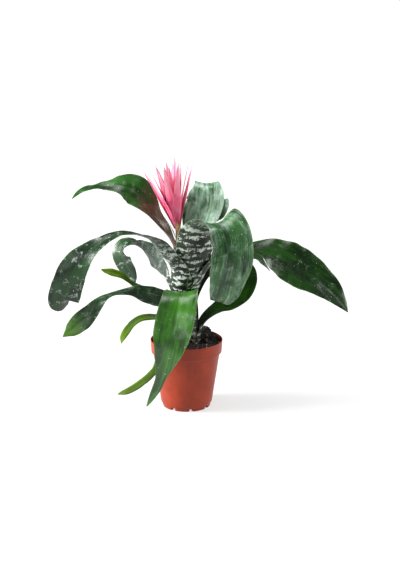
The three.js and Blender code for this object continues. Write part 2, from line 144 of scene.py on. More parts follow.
class NodeTree:
    """A node tree and the one call that adds a node to it."""

    tree: bpy.types.NodeTree

    def node(
        self,
        kind: str,
        settings: Optional[Mapping[str, object]] = None,
        sockets: Optional[Mapping[Union[str, int], object]] = None,
    ) -> bpy.types.Node:
        """Adds one node: its settings first, then the values or links of its sockets.

        Args:
            kind: Blender's node type.
            settings: Properties of the node; "stops" holds a ramp's positions and colours.
            sockets: Input name or number to a number, a tuple, a Wire or an output socket.

        Returns:
            The new node.
        """
        node = self.tree.nodes.new(kind)
        for key, value in (settings or {}).items():
            if key == "stops":
                self._set_stops(node.color_ramp, value)
            else:
                setattr(node, key, value)
        for key, value in (sockets or {}).items():
            self.feed(node, key, value)
        return node

    def feed(self, node: bpy.types.Node, key: Union[str, int], value: object) -> None:
        """Sets or links one input socket.

        Args:
            node: The node that takes the value.
            key: Name or number of its input.
            value: A number, a tuple, a Wire or an output socket.
        """
        target = node.inputs[key]
        if isinstance(value, (Wire, bpy.types.NodeSocket)):
            self.tree.links.new(value.socket if isinstance(value, Wire) else value, target)
        elif isinstance(value, tuple) and len(value) == 3 and target.type == "RGBA":
            target.default_value = (*value, 1.0)
        else:
            target.default_value = value

    @staticmethod
    def _set_stops(ramp: bpy.types.ColorRamp, stops: Sequence[tuple[float, Colour]]) -> None:
        """Gives a ramp its stops.

        Args:
            ramp: The node's ramp.
            stops: Positions from 0 to 1, each with its colour.
        """
        while len(ramp.elements) < len(stops):
            ramp.elements.new(0.5)
        for element, (place, colour) in zip(ramp.elements, stops):
            element.position = place
            element.color = (*colour, 1.0)


class ShaderGraph(NodeTree):
    """A new material and the few calls that every finish uses to fill it with nodes."""

    def __init__(self, name: str) -> None:
        """Makes the material with an output and a Principled shader.

        Args:
            name: Name of the material.
        """
        self.material = bpy.data.materials.new(name)
        self.material.use_nodes = True
        self.tree = self.material.node_tree
        self.tree.nodes.clear()
        self.shader = self.node("ShaderNodeBsdfPrincipled")
        output = self.node("ShaderNodeOutputMaterial")
        self.tree.links.new(self.shader.outputs["BSDF"], output.inputs["Surface"])

    def maths(self, operation: str, *values: Value) -> Wire:
        """One Math node on values."""
        node = self.node("ShaderNodeMath", {"operation": operation}, dict(enumerate(values)))
        return Wire(self, node.outputs[0])

    def vector(self, x: Value, y: Value, z: Value = 0.0) -> Wire:
        """A vector from three values."""
        node = self.node("ShaderNodeCombineXYZ", None, {"X": x, "Y": y, "Z": z})
        return Wire(self, node.outputs[0])

    def split(self, vector: Wire) -> tuple[Wire, Wire, Wire]:
        """The three values of a vector."""
        node = self.node("ShaderNodeSeparateXYZ", None, {0: vector})
        return tuple(Wire(self, out) for out in node.outputs)

    def place(self) -> Wire:
        """Object coordinates in millimetres."""
        node = self.node("ShaderNodeTexCoord")
        scaled = self.node(
            "ShaderNodeVectorMath",
            {"operation": "SCALE"},
            {0: Wire(self, node.outputs["Object"]), "Scale": 1 / MM},
        )
        return Wire(self, scaled.outputs[0])

    def grain(
        self, vector: Wire, scale: float, detail: float = 2.0, rough: float = 0.5, warp: float = 0.0
    ) -> Wire:
        """Fractal noise of 0 to 1.

        Args:
            vector: Where the noise is read.
            scale: Features per unit of the vector.
            detail: Octaves.
            rough: Strength of the finer octaves.
            warp: Distortion.

        Returns:
            The noise value.
        """
        node = self.node(
            "ShaderNodeTexNoise",
            {"noise_dimensions": "3D"},
            {"Vector": vector, "Scale": scale, "Detail": detail, "Roughness": rough, "Distortion": warp},
        )
        return Wire(self, node.outputs[0])

    def specks(self, vector: Wire, scale: float, share: float, size: float) -> Wire:
        """Scattered round specks: 1 inside a speck, 0 outside.

        Args:
            vector: Where the pattern is read.
            scale: Cells per unit of the vector.
            share: Share of the cells that hold a speck.
            size: Radius of a speck as a share of its cell.

        Returns:
            The mask.
        """
        node = self.node(
            "ShaderNodeTexVoronoi", {"feature": "F1"}, {"Vector": vector, "Scale": scale, "Randomness": 1.0}
        )
        chance = self.split(Wire(self, node.outputs["Color"]))[0]
        near = Wire(self, node.outputs["Distance"]).rise(size, size * 0.45)
        return near * chance.rise(1 - share, 1 - share * 0.7)

    def blend(self, share: Value, low: object, high: object) -> Wire:
        """Mixes two colours.

        Args:
            share: 0 gives low, 1 gives high.
            low: Colour or Wire.
            high: Colour or Wire.

        Returns:
            The mixed colour.
        """
        node = self.node(
            "ShaderNodeMix",
            {"data_type": "RGBA", "blend_type": "MIX", "clamp_factor": True},
            {0: share, 6: low, 7: high},
        )
        return Wire(self, node.outputs[2])

    def ramp(self, value: Wire, stops: Sequence[tuple[float, Colour]]) -> Wire:
        """Colour from a value through a ramp's stops."""
        node = self.node("ShaderNodeValToRGB", {"stops": stops}, {0: value})
        return Wire(self, node.outputs[0])

    def layer(self, name: str) -> tuple[Wire, Wire, Wire, Wire]:
        """The four channels of a mesh's colour attribute."""
        node = self.node("ShaderNodeAttribute", {"attribute_name": name})
        red, green, blue = self.split(Wire(self, node.outputs["Color"]))
        return red, green, blue, Wire(self, node.outputs["Alpha"])

    def strap(self) -> tuple[Wire, Wire]:
        """A strap's own coordinates in centimetres: across from its midrib, and along from its base."""
        node = self.node("ShaderNodeUVMap", {"uv_map": STRAP_UV})
        across, along, _ = self.split(Wire(self, node.outputs[0]))
        return across, along

    def strap_grain(
        self, across: float, along: float, detail: float, rough: float, warp: float = 0.0, shift: float = 0.0
    ) -> Wire:
        """Fractal noise in a strap's own coordinates.

        Args:
            across: Features per centimetre across the strap.
            along: Features per centimetre along it.
            detail: Octaves.
            rough: Strength of the finer octaves.
            warp: Distortion.
            shift: Distance across by which the pattern is moved.

        Returns:
            The noise value.
        """
        sideways, lengthwise = self.strap()
        place = self.vector(sideways * across + shift, lengthwise * along)
        return self.grain(place, 1.0, detail, rough, warp)

    def relief(self, height: Wire, strength: float, depth: float) -> Wire:
        """A bump of the given depth in millimetres.

        Args:
            height: Height pattern, 0 to 1.
            strength: Bump strength.
            depth: Depth of the pattern in millimetres.

        Returns:
            The bumped normal.
        """
        sockets = {"Strength": strength, "Distance": depth * MM, "Height": height}
        node = self.node("ShaderNodeBump", None, sockets)
        return Wire(self, node.outputs[0])

    def finish(self, **sockets: object) -> bpy.types.Material:
        """Feeds the Principled shader, with _ for a space in a socket's name.

        Args:
            **sockets: Values or Wires of its sockets.

        Returns:
            The finished material.
        """
        for key, value in sockets.items():
            self.feed(self.shader, key.replace("_", " "), value)
        return self.material


STRAP_UV = "strap"
STRAP_LAYER = "strap_zones"


class LeafTone(Enum):
    """The kinds of leaf surface on this plant."""

    DEEP = "deep"
    BRUISED = "bruised"
    TIPPED = "tipped"
    SILVERED = "silvered"
    GLOSSY = "glossy"
    FROSTED = "frosted"
    GREY = "grey"
    BANDED = "banded"
    FRESH = "fresh"
    YOUNG = "young"


@dataclass(frozen=True)
class LeafFinish:
    """Waxy leaf skin with silver scales: plain above, barred below and round the cup."""

    deep: Colour
    fresh: Colour
    haze: Colour
    frost: float
    bars: float
    specks: float
    rough: float
    under: Colour = srgb(30, 46, 26)
    under_bars: float = 0.3
    tip: Colour = srgb(70, 104, 26)
    tip_share: float = 0.0
    silver: Colour = srgb(190, 201, 188)
    night: Colour = srgb(13, 21, 11)
    # Colour of the pale margin line: partly the margin's own pale colour, partly a painted highlight along the
    # edge.
    margin: Colour = srgb(128, 156, 100)
    bruise: Colour = srgb(104, 78, 64)
    bruise_share: float = 0.0
    bar_reach: float = 0.5
    gloss: float = 0.4

    def material(self, name: str) -> bpy.types.Material:
        """Builds the leaf's material.

        Args:
            name: Name of the material.

        Returns:
            The material, which reads the strap's own coordinates and zones.
        """
        g = ShaderGraph(name)
        across, along = g.strap()
        below, edge, reach, sheath = g.layer(STRAP_LAYER)
        broad = g.strap_grain(0.45, 0.16, 2.0, 0.5)
        streak = g.strap_grain(3.2, 0.11, 4.0, 0.62)
        veins = g.strap_grain(13.0, 0.1, 2.0, 0.55)
        fine = g.strap_grain(30.0, 2.6, 2.0, 0.6)
        patch = g.strap_grain(0.8, 0.5, 5.0, 0.62, 0.5)
        jag = g.strap_grain(5.5, 3.0, 4.0, 0.68)

        top, silvering = self._upper(g, broad, streak, veins, fine, patch, jag)
        top = g.blend(reach.rise(0.8, 1.0) * self.tip_share, top, self.tip)
        mid_leaf = reach.rise(0.36, 0.46) * reach.rise(0.76, 0.56) * 0.9
        bruise = mid_leaf + (patch - 0.5) * 1.9 + (streak - 0.5) * 1.3
        brown = g.blend(fine.rise(0.35, 0.7) * 0.5, self.bruise, self.deep)
        top = g.blend(bruise.rise(0.45, 0.8) * self.bruise_share, top, brown)

        zebra = self._zebra(g, along, jag)
        barred = sheath.most(reach.rise(self.bar_reach + 0.1, self.bar_reach - 0.1))
        strength = barred * (0.95 - self.under_bars) + self.under_bars
        dark = g.blend(patch.rise(0.42, 0.7), self.night, self.under)
        dark = g.blend(1 - barred, dark, g.blend(streak.rise(0.45, 0.75) * 0.6, self.under, self.haze))
        pale = g.blend(fine.rise(0.4, 0.8) * 0.3, self.silver, self.haze)
        bottom = g.blend(zebra * strength, dark, pale)
        bottom = g.blend(reach.rise(0.8, 1.0) * self.tip_share, bottom, self.tip)
        bottom = g.blend(bruise.rise(0.45, 0.8) * self.bruise_share, bottom, brown)
        dots = g.specks(g.vector(across, along), 2.4, 0.3, 0.16)
        bottom = g.blend(dots * (1 - barred) * self.specks, bottom, self.silver)

        skin = g.blend(below, top, bottom)
        # Pale line along both margins: partly the margin's own colour, partly a painted edge highlight
        # standing in for light caught by a rounded margin.
        skin = g.blend(edge.rise(0.96, 0.99) * 0.6, skin, self.margin)
        ridges = veins * 0.6 + streak * 0.5 + fine * 0.15
        return g.finish(
            Base_Color=skin,
            Roughness=self.rough + silvering * 0.2 + below * 0.16 + (fine - 0.5) * 0.12,
            Normal=g.relief(ridges, 0.55, 0.45),
            IOR=1.45,
            Specular_IOR_Level=self.gloss,
        )

    def _upper(
        self, g: ShaderGraph, broad: Wire, streak: Wire, veins: Wire, fine: Wire, patch: Wire, jag: Wire
    ) -> tuple[Wire, Wire]:
        """The upper face: two greens in long streaks, a silvery bloom, broken bars and scattered scales.

        Args:
            g: The graph.
            broad: Slow variation along the leaf.
            streak: Lengthwise streaks.
            veins: Fine parallel veins.
            fine: Finest grain.
            patch: Cloudy patches.
            jag: Ragged detail.

        Returns:
            The colour, and how silvered it is.
        """
        across, along = g.strap()
        _, edge, reach, _ = g.layer(STRAP_LAYER)
        tone = (broad - 0.5) * 2.8 + (streak - 0.5) * 1.1 + (veins - 0.5) * 0.6 + 0.5
        green = g.blend(tone.rise(0.1, 0.95), self.deep, self.fresh)
        bloom = (patch - 0.5) * 1.9 + (streak - 0.5) * 1.8 + (fine - 0.5) * 0.7 + edge.rise(0.6, 1.0) * 0.24
        bloom = (bloom + (self.frost - 0.5) * 1.1 + 0.12 - reach.rise(0.3, 0.75) * 0.34).rise(-0.1, 0.95)
        wave = ((along + (patch - 0.5) * 5 + (jag - 0.5) * 0.6) * (2 * math.pi / 1.7)).sine()
        bars = (wave * 0.5 + (patch - 0.5) * 3 + (jag - 0.5) * 2.4).rise(0.5, 0.85) * self.bars
        dust = g.specks(g.vector(across, along), 3.6, 0.3, 0.2) * patch.rise(0.46, 0.6)
        drops = g.specks(g.vector(across + 3, along), 1.5, 0.4, 0.14)
        scales = dust.most(drops) * self.specks
        colour = g.blend(bloom * 0.9, green, self.haze)
        silvering = bars.most(scales)
        return g.blend(silvering * 0.9, colour, self.silver), silvering.most(bloom * 0.6)

    @staticmethod
    def _zebra(g: ShaderGraph, along: Wire, jag: Wire) -> Wire:
        """Ragged silver bars across the strap, broken into blotches.

        Args:
            g: The graph.
            along: Distance from the base.
            jag: Ragged detail.

        Returns:
            1 on silver, 0 on the dark ground.
        """
        band = g.strap_grain(0.42, 1.15, 5.0, 0.66, 0.5)
        blotch = g.strap_grain(1.5, 1.9, 4.0, 0.7, 0.3, shift=9)
        wave = ((along + (band - 0.5) * 1.6) * (2 * math.pi / 1.15)).sine()
        value = (band - 0.5) * 5.5 + (blotch - 0.5) * 3.2 + (jag - 0.5) * 2.2 + wave * 0.24 - 0.34
        return value.rise(-0.14, 0.16)


LEAF_FINISHES: dict[LeafTone, LeafFinish] = {
    LeafTone.DEEP: LeafFinish(srgb(12, 34, 8), srgb(28, 66, 16), srgb(88, 116, 92), 0.42, 0.08, 0.9, 0.28),
    LeafTone.BRUISED: LeafFinish(
        srgb(16, 44, 12), srgb(38, 86, 26), srgb(84, 118, 90), 0.38, 0.1, 0.8, 0.3, bruise_share=0.95),
    LeafTone.GLOSSY: LeafFinish(
        srgb(24, 64, 8), srgb(60, 124, 28), srgb(104, 152, 92), 0.3, 0.05, 0.9, 0.29, gloss=0.75),
    LeafTone.FROSTED: LeafFinish(
        srgb(22, 52, 22), srgb(46, 90, 42), srgb(130, 164, 138), 0.74, 0.16, 1.0, 0.28, gloss=0.5),
    LeafTone.GREY: LeafFinish(
        srgb(14, 32, 18), srgb(30, 58, 30), srgb(78, 104, 84), 0.36, 0.42, 0.9, 0.3,
        under=srgb(26, 38, 28), under_bars=0.12, bar_reach=0.38),
    LeafTone.SILVERED: LeafFinish(
        srgb(24, 54, 28), srgb(50, 92, 52), srgb(142, 176, 154), 1.0, 0.3, 0.9, 0.26, gloss=0.6),
    LeafTone.BANDED: LeafFinish(srgb(20, 44, 24), srgb(44, 76, 46), srgb(132, 166, 146), 0.78, 0.5, 0.7, 0.32),
    LeafTone.FRESH: LeafFinish(
        srgb(18, 54, 2), srgb(42, 96, 6), srgb(70, 116, 40), 0.12, 0.04, 0.4, 0.27, tip_share=0.3),
    LeafTone.TIPPED: LeafFinish(
        srgb(18, 40, 20), srgb(38, 70, 34), srgb(92, 122, 98), 0.46, 0.24, 0.9, 0.3,
        under=srgb(32, 50, 34), under_bars=0.15, tip=srgb(66, 110, 10), tip_share=0.9, bar_reach=0.25),
    LeafTone.YOUNG: LeafFinish(
        srgb(46, 78, 2), srgb(84, 118, 10), srgb(110, 142, 36), 0.2, 0.0, 0.2, 0.33,
        under=srgb(60, 94, 6), under_bars=0.0, tip=srgb(128, 156, 40), tip_share=0.4,
        silver=srgb(160, 178, 100), night=srgb(40, 68, 4), margin=srgb(150, 172, 70)),
}


@dataclass(frozen=True)
class ToothFinish:
    """Horny margin teeth, dark at the point."""

    dark: Colour
    pale: Colour

    def material(self, name: str) -> bpy.types.Material:
        """Builds the teeth's material."""
        g = ShaderGraph(name)
        mottle = g.grain(g.place(), 0.35, 2.0)
        return g.finish(Base_Color=g.blend(mottle.rise(0.4, 0.65), self.dark, self.pale), Roughness=0.55)


@dataclass(frozen=True)
class BractFinish:
    """Pink papery bract: deeper at its base and heart, greyish at the tip, finely veined."""

    base: Colour = srgb(214, 84, 118)
    middle: Colour = srgb(214, 92, 130)
    light: Colour = srgb(222, 138, 162)
    deep: Colour = srgb(172, 28, 66)
    tip: Colour = srgb(150, 118, 126)
    vein: Colour = srgb(176, 44, 82)

    def material(self, name: str) -> bpy.types.Material:
        """Builds the bracts' material.

        Args:
            name: Name of the material.

        Returns:
            The material, which reads the strap's own coordinates and zones.
        """
        g = ShaderGraph(name)
        _, edge, reach, _ = g.layer(STRAP_LAYER)
        blush = g.strap_grain(0.9, 0.45, 3.0, 0.55)
        fine = g.strap_grain(22.0, 0.8, 2.0, 0.55)
        veins = g.strap_grain(11.0, 0.12, 2.0, 0.5)
        colour = g.ramp(reach, (
            (0.0, self.light), (0.1, self.base), (0.45, self.middle), (0.72, self.light), (0.93, self.light),
            (1.0, self.tip),
        ))
        colour = g.blend(blush.rise(0.5, 0.72) * (1 - reach.rise(0.5, 0.95)) * 0.85, colour, self.deep)
        colour = g.blend(blush.rise(0.46, 0.28) * 0.55, colour, self.light)
        colour = g.blend(veins.rise(0.55, 0.75) * 0.4, colour, self.vein)
        colour = g.blend(fine.rise(0.45, 0.8) * 0.28, colour, self.light)
        colour = g.blend(edge.rise(0.72, 1.0) * 0.35, colour, self.light)
        colour = g.blend(reach.rise(0.86, 0.99) * 0.75, colour, self.tip)
        return g.finish(
            Base_Color=colour,
            Roughness=0.5 + fine * 0.14,
            Normal=g.relief(veins * 0.7 + fine * 0.4, 0.6, 0.3),
            Subsurface_Weight=0.12,
            Subsurface_Radius=(0.004, 0.0015, 0.0012),
            Subsurface_Scale=1.0,
            IOR=1.42,
        )


@dataclass(frozen=True)
class HuskFinish:
    """Small stalk bracts: yellow-green at the tip, rusty brown and pink at the base."""

    green: Colour = srgb(172, 172, 66)
    straw: Colour = srgb(214, 190, 118)
    rust: Colour = srgb(146, 84, 58)
    pink: Colour = srgb(212, 140, 122)

    def material(self, name: str) -> bpy.types.Material:
        """Builds the stalk bracts' material."""
        g = ShaderGraph(name)
        _, edge, reach, _ = g.layer(STRAP_LAYER)
        fine = g.strap_grain(18.0, 1.2, 3.0, 0.6)
        patch = g.strap_grain(2.0, 1.6, 3.0, 0.6)
        colour = g.ramp(
            reach,
            ((0.0, self.pink), (0.4, self.pink), (0.62, self.straw), (0.8, self.green), (1.0, self.rust)),
        )
        colour = g.blend(edge.rise(0.6, 1.0) * patch.rise(0.35, 0.6) * 0.85, colour, self.rust)
        colour = g.blend(fine.rise(0.5, 0.8) * 0.35, colour, self.straw)
        return g.finish(Base_Color=colour, Roughness=0.6, Normal=g.relief(fine, 0.5, 0.3))


@dataclass(frozen=True)
class StemFinish:
    """Woody brown stem below, peach-pink felted stalk above."""

    wood: Colour = srgb(58, 42, 28)
    husk: Colour = srgb(116, 92, 62)
    green: Colour = srgb(120, 128, 82)
    peach: Colour = srgb(208, 138, 116)
    felt: Colour = srgb(232, 198, 184)

    def material(self, name: str) -> bpy.types.Material:
        """Builds the stem's material."""
        g = ShaderGraph(name)
        place = g.place()
        x, y, z = g.split(place)
        rough = g.grain(place, 0.35, 5.0, 0.65)
        felt = g.grain(g.vector(x * 3, y * 3, z * 0.8), 1.0, 3.0, 0.6)
        rings = ((z + rough * 3) * (2 * math.pi / 5.5)).sine().rise(0.55, 0.95)
        bark = g.blend(rough.rise(0.35, 0.7), self.wood, self.husk)
        bark = g.blend(rings * 0.5, bark, self.wood)
        stalk = g.blend((z + rough * 14).rise(240, 285), self.green, self.peach)
        stalk = g.blend(felt.rise(0.42, 0.72) * 0.7, stalk, self.felt)
        colour = g.blend((z + rough * 6).rise(116, 128), bark, stalk)
        return g.finish(
            Base_Color=colour, Roughness=0.72 + felt * 0.15, Normal=g.relief(felt + rough, 0.6, 0.5)
        )


@dataclass(frozen=True)
class MixFinish:
    """Damp dark peat with lighter flecks."""

    dark: Colour = srgb(17, 12, 11)
    brown: Colour = srgb(44, 33, 28)
    fleck: Colour = srgb(104, 88, 76)

    def material(self, name: str) -> bpy.types.Material:
        """Builds the mix's material."""
        g = ShaderGraph(name)
        place = g.place()
        lumps = g.grain(place, 0.35, 6.0, 0.7)
        clods = g.grain(place, 1.6, 3.0, 0.6)
        flecks = g.specks(place, 0.75, 0.16, 0.3)
        colour = g.blend(lumps.rise(0.42, 0.72), self.dark, self.brown)
        colour = g.blend(flecks * 0.8, colour, self.fleck)
        return g.finish(
            Base_Color=colour, Roughness=0.88 + clods * 0.1,
            Normal=g.relief(lumps * 0.6 + clods * 0.6, 1.0, 1.6),
        )


@dataclass(frozen=True)
class CrumbFinish:
    """Loose crumbs: mostly dark peat, some bark and a few pale bits."""

    dark: Colour = srgb(20, 14, 12)
    brown: Colour = srgb(52, 38, 32)
    bark: Colour = srgb(92, 66, 50)
    pale: Colour = srgb(158, 146, 130)

    def material(self, name: str) -> bpy.types.Material:
        """Builds the crumbs' material."""
        g = ShaderGraph(name)
        node = g.node("ShaderNodeAttribute", {"attribute_name": BIT_TONE})
        tone = Wire(g, node.outputs["Fac"])
        grain = g.grain(g.place(), 1.1, 4.0, 0.65)
        kind = g.ramp(
            tone,
            ((0.0, self.dark), (0.55, self.dark), (0.8, self.brown), (0.93, self.bark), (1.0, self.pale)),
        )
        colour = g.blend(grain.rise(0.35, 0.75) * 0.6, kind, self.dark)
        return g.finish(Base_Color=colour, Roughness=0.9, Normal=g.relief(grain, 0.9, 0.6))


@dataclass(frozen=True)
class FibreFinish:
    """Coarse plant fibres, straw to brown."""

    brown: Colour = srgb(60, 44, 36)
    straw: Colour = srgb(150, 128, 106)

    def material(self, name: str) -> bpy.types.Material:
        """Builds the fibres' material."""
        g = ShaderGraph(name)
        node = g.node("ShaderNodeAttribute", {"attribute_name": BIT_TONE})
        grain = g.grain(g.place(), 0.9, 2.0)
        colour = g.blend((Wire(g, node.outputs["Fac"]) + grain * 0.4).rise(0.5, 1.25), self.brown, self.straw)
        return g.finish(Base_Color=colour, Roughness=0.82, Normal=g.relief(grain, 0.5, 0.3))


@dataclass(frozen=True)
class PlasticFinish:
    """Thin moulded terracotta plastic: satin, slightly mottled, scuffed at the edges, dusty inside."""

    body: Colour = srgb(150, 52, 22)
    deep: Colour = srgb(130, 42, 18)
    worn: Colour = srgb(172, 84, 50)
    dust: Colour = srgb(66, 44, 34)

    def material(self, name: str) -> bpy.types.Material:
        """Builds the pot's material.

        Args:
            name: Name of the material.

        Returns:
            The material, which reads object coordinates.
        """
        g = ShaderGraph(name)
        place = g.place()
        x, y, z = g.split(place)
        out = g.maths("SQRT", x * x + y * y)
        angle = g.maths("ARCTAN2", y, x)
        cloud = g.grain(place, 0.03, 4.0, 0.6)
        flow = g.grain(g.vector(angle * 9, z * 0.012, 0.0), 1.0, 3.0, 0.6)
        hair = g.grain(g.vector(angle * 1.5, z * 1.4, 0.0), 1.0, 2.0, 0.7)
        grit = g.grain(place, 1.4, 3.0, 0.7)
        scuffs = g.grain(g.vector(angle * 30, z * 0.35, 2.0), 1.0, 5.0, 0.75).rise(0.66, 0.78)
        colour = g.blend((cloud * 0.8 + flow * 0.2).rise(0.35, 0.7), self.deep, self.body)
        step = (z - 94).rise(1.4, 0.2) * (z - 94).rise(-1.4, -0.2)
        near_edge = z.rise(113.2, 114.6).most(z.rise(1.6, 0.3)).most(step)
        wear = near_edge * grit.rise(0.4, 0.62) * 0.45 + scuffs * 0.07
        colour = g.blend(wear, colour, self.worn)
        soiled = g.grain(place, 0.5, 4.0, 0.7)
        inside = (58.4 - out).rise(0.1, 0.7) * z.rise(98, 101)
        colour = g.blend(inside * soiled.rise(0.42, 0.6) * z.rise(114.5, 106), colour, self.dust)
        # Patchy darker colour towards the bottom of the pot, strongest below about 9 mm.
        under = z.rise(9, 1.5) * soiled.rise(0.5, 0.75) * 0.35
        colour = g.blend(under, colour, self.dust)
        return g.finish(
            Base_Color=colour,
            Roughness=0.4 + cloud * 0.1 + wear * 0.3 + inside * 0.2,
            Normal=g.relief(grit * 0.5 + hair * 0.2 + flow * 0.2, 0.2, 0.2),
            Specular_IOR_Level=0.28,
            Subsurface_Weight=0.04,
            Subsurface_Radius=(0.004, 0.0012, 0.0008),
            Subsurface_Scale=1.0,
        )


# ---- Mesh helpers ----


def link(name: str, mesh: bpy.types.Mesh) -> bpy.types.Object:
    """Puts a mesh in the scene as a new object at the origin.

    Args:
        name: Name of the object.
        mesh: Its mesh, already in place.

    Returns:
        The object.
    """
    mesh.name = name
    piece = bpy.data.objects.new(name, mesh)
    bpy.context.scene.collection.objects.link(piece)
    return piece


def mesh_from(
    name: str, points: np.ndarray, faces: Sequence[Sequence[int]], crease: float = 40.0
) -> bpy.types.Mesh:
    """Makes a smooth mesh with sharp creases, its faces turned outwards.

    Args:
        name: Name of the mesh.
        points: Vertices in millimetres.
        faces: Vertex numbers of each face.
        crease: Angle in degrees past which an edge stays sharp.

    Returns:
        The mesh, in metres.
    """
    mesh = bpy.data.meshes.new(name)
    mesh.from_pydata((np.asarray(points) * MM).tolist(), [], [tuple(map(int, face)) for face in faces])
    mesh.update()
    mesh.calc_loop_triangles()
    corners = np.asarray(points)[[tuple(t.vertices) for t in mesh.loop_triangles]]
    volume = np.einsum("ij,ij->i", corners[:, 0], np.cross(corners[:, 1], corners[:, 2])).sum()
    if volume < 0:
        mesh.flip_normals()
    mesh.polygons.foreach_set("use_smooth", [True] * len(mesh.polygons))
    mesh.set_sharp_from_angle(angle=math.radians(crease))
    return mesh


def ring(
    turn: np.ndarray, radius: Union[float, np.ndarray], height: float, x: float = 0, y: float = 0
) -> np.ndarray:
    """Points of a level ring.

    Args:
        turn: Angle of each point.
        radius: One radius, or one for each point.
        height: Height of the ring.
        x: Sideways place of its centre.
        y: Depth of its centre.

    Returns:
        The points, one in each row.
    """
    level = np.full(len(turn), height)
    return np.stack([x + radius * np.cos(turn), y + radius * np.sin(turn), level], axis=1)


def around(count: int) -> np.ndarray:
    """Angles of a whole turn in equal steps."""
    return np.linspace(0, 2 * math.pi, count, endpoint=False)


def tube(rings: int, sides: int) -> tuple[np.ndarray, list[np.ndarray]]:
    """Four-sided faces between rings of points, each ring after the one before.

    Args:
        rings: Number of rings.
        sides: Points in each ring.

    Returns:
        The grid of vertex numbers, and the faces.
    """
    grid = np.arange(rings * sides).reshape(rings, sides)
    beside = np.roll(grid, -1, axis=1)
    return grid, [*np.stack([grid[:-1], beside[:-1], beside[1:], grid[1:]], axis=-1).reshape(-1, 4)]


def declare(piece: bpy.types.Object, slot: str, *nodes: str) -> None:
    """Ties a finished piece to its body, hides the frame's nodes that it stands for, and logs its faces under
    those nodes or its slot name.
    """
    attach(piece, BODY)
    for node in nodes:
        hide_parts(node)
    LOG.info("%s: %d faces for %s", piece.name, len(piece.data.polygons), ", ".join(nodes) or slot)


def curve_through(rows: np.ndarray, where: np.ndarray) -> tuple[np.ndarray, np.ndarray]:
    """Reads a smooth curve that passes through every row of a table.

    Args:
        rows: One row of values for each station.
        where: Station numbers, whole or between, at which to read.

    Returns:
        The values there, and how fast they change.
    """
    last = len(rows) - 1
    padded = np.vstack([2 * rows[0] - rows[1], rows, 2 * rows[-1] - rows[-2]])
    cell = np.clip(np.floor(where).astype(int), 0, last - 1)
    t = (where - cell)[:, None]
    a, b, c, d = (padded[cell + k] for k in range(4))
    slope_b, slope_c = (c - a) / 2, (d - b) / 2
    values = (
        b + slope_b * t + (3 * (c - b) - 2 * slope_b - slope_c) * t**2
        + (2 * (b - c) + slope_b + slope_c) * t**3
    )
    square, cube = 3 * (c - b) - 2 * slope_b - slope_c, 2 * (b - c) + slope_b + slope_c
    change = slope_b + 2 * square * t + 3 * cube * t**2
    return values, change


def unit(vectors: np.ndarray) -> np.ndarray:
    """Vectors scaled to length 1."""
    return vectors / np.maximum(np.linalg.norm(vectors, axis=-1, keepdims=True), 1e-9)


def soft_noise(places: np.ndarray) -> np.ndarray:
    """Smooth noise of about -1 to 1 at each row of places."""
    flat = places.reshape(-1, 3)
    values = np.fromiter((noise.noise(Vector(row)) for row in flat), float, len(flat))
    return values.reshape(places.shape[:-1])


def ease(value: np.ndarray, low: float, high: float) -> np.ndarray:
    """Smooth step from 0 at low to 1 at high."""
    share = np.clip((value - low) / (high - low), 0, 1)
    return share * share * (3 - 2 * share)


# ---- Geometry Nodes ----


class GeometryTree(NodeTree):
    """A Geometry Nodes tree with named size inputs, built in code and applied to a mesh object."""

    def __init__(self, name: str, sizes: Mapping[str, float]) -> None:
        """Makes the tree with a geometry input, a number input for each size, and its output.

        Args:
            name: Name of the tree.
            sizes: Name and value of each size.
        """
        self.tree = bpy.data.node_groups.new(name, "GeometryNodeTree")
        self.sizes = dict(sizes)
        face = self.tree.interface
        face.new_socket("Geometry", in_out="INPUT", socket_type="NodeSocketGeometry")
        for size in sizes:
            face.new_socket(size, in_out="INPUT", socket_type="NodeSocketFloat")
        face.new_socket("Geometry", in_out="OUTPUT", socket_type="NodeSocketGeometry")
        self.entry = self.tree.nodes.new("NodeGroupInput")
        self.exit = self.tree.nodes.new("NodeGroupOutput")

    def size(self, name: str) -> bpy.types.NodeSocket:
        """The output socket of a named size."""
        return self.entry.outputs[name]

    def attribute(self, name: str, kind: str) -> bpy.types.NodeSocket:
        """A named attribute of the mesh, of the given data type."""
        return self.node("GeometryNodeInputNamedAttribute", {"data_type": kind}, {"Name": name}).outputs[0]

    def close(self, geometry: bpy.types.NodeSocket, material: bpy.types.Material) -> None:
        """Ends the tree in real geometry with its material.

        Args:
            geometry: What the tree has made.
            material: Its material.
        """
        real = self.node("GeometryNodeRealizeInstances", None, {0: geometry})
        dressed = self.node(
            "GeometryNodeSetMaterial", None, {"Geometry": real.outputs[0], "Material": material}
        )
        self.tree.links.new(dressed.outputs[0], self.exit.inputs[0])

    def grow(self, name: str, seed_mesh: bpy.types.Mesh) -> bpy.types.Object:
        """Runs the tree on a mesh and keeps the result as a plain mesh object.

        Args:
            name: Name of the new object.
            seed_mesh: Mesh that the tree starts from.

        Returns:
            The object, with no modifier.
        """
        holder = link(name + "_seed", seed_mesh)
        modifier = holder.modifiers.new(self.tree.name, "NODES")
        modifier.node_group = self.tree
        for item in self.tree.interface.items_tree:
            if item.in_out == "INPUT" and item.name in self.sizes:
                modifier[item.identifier] = float(self.sizes[item.name])
        depsgraph = bpy.context.evaluated_depsgraph_get()
        mesh = bpy.data.meshes.new_from_object(holder.evaluated_get(depsgraph), depsgraph=depsgraph)
        bpy.data.objects.remove(holder)
        return link(name, mesh)


# ---- Straps: leaves and bracts ----


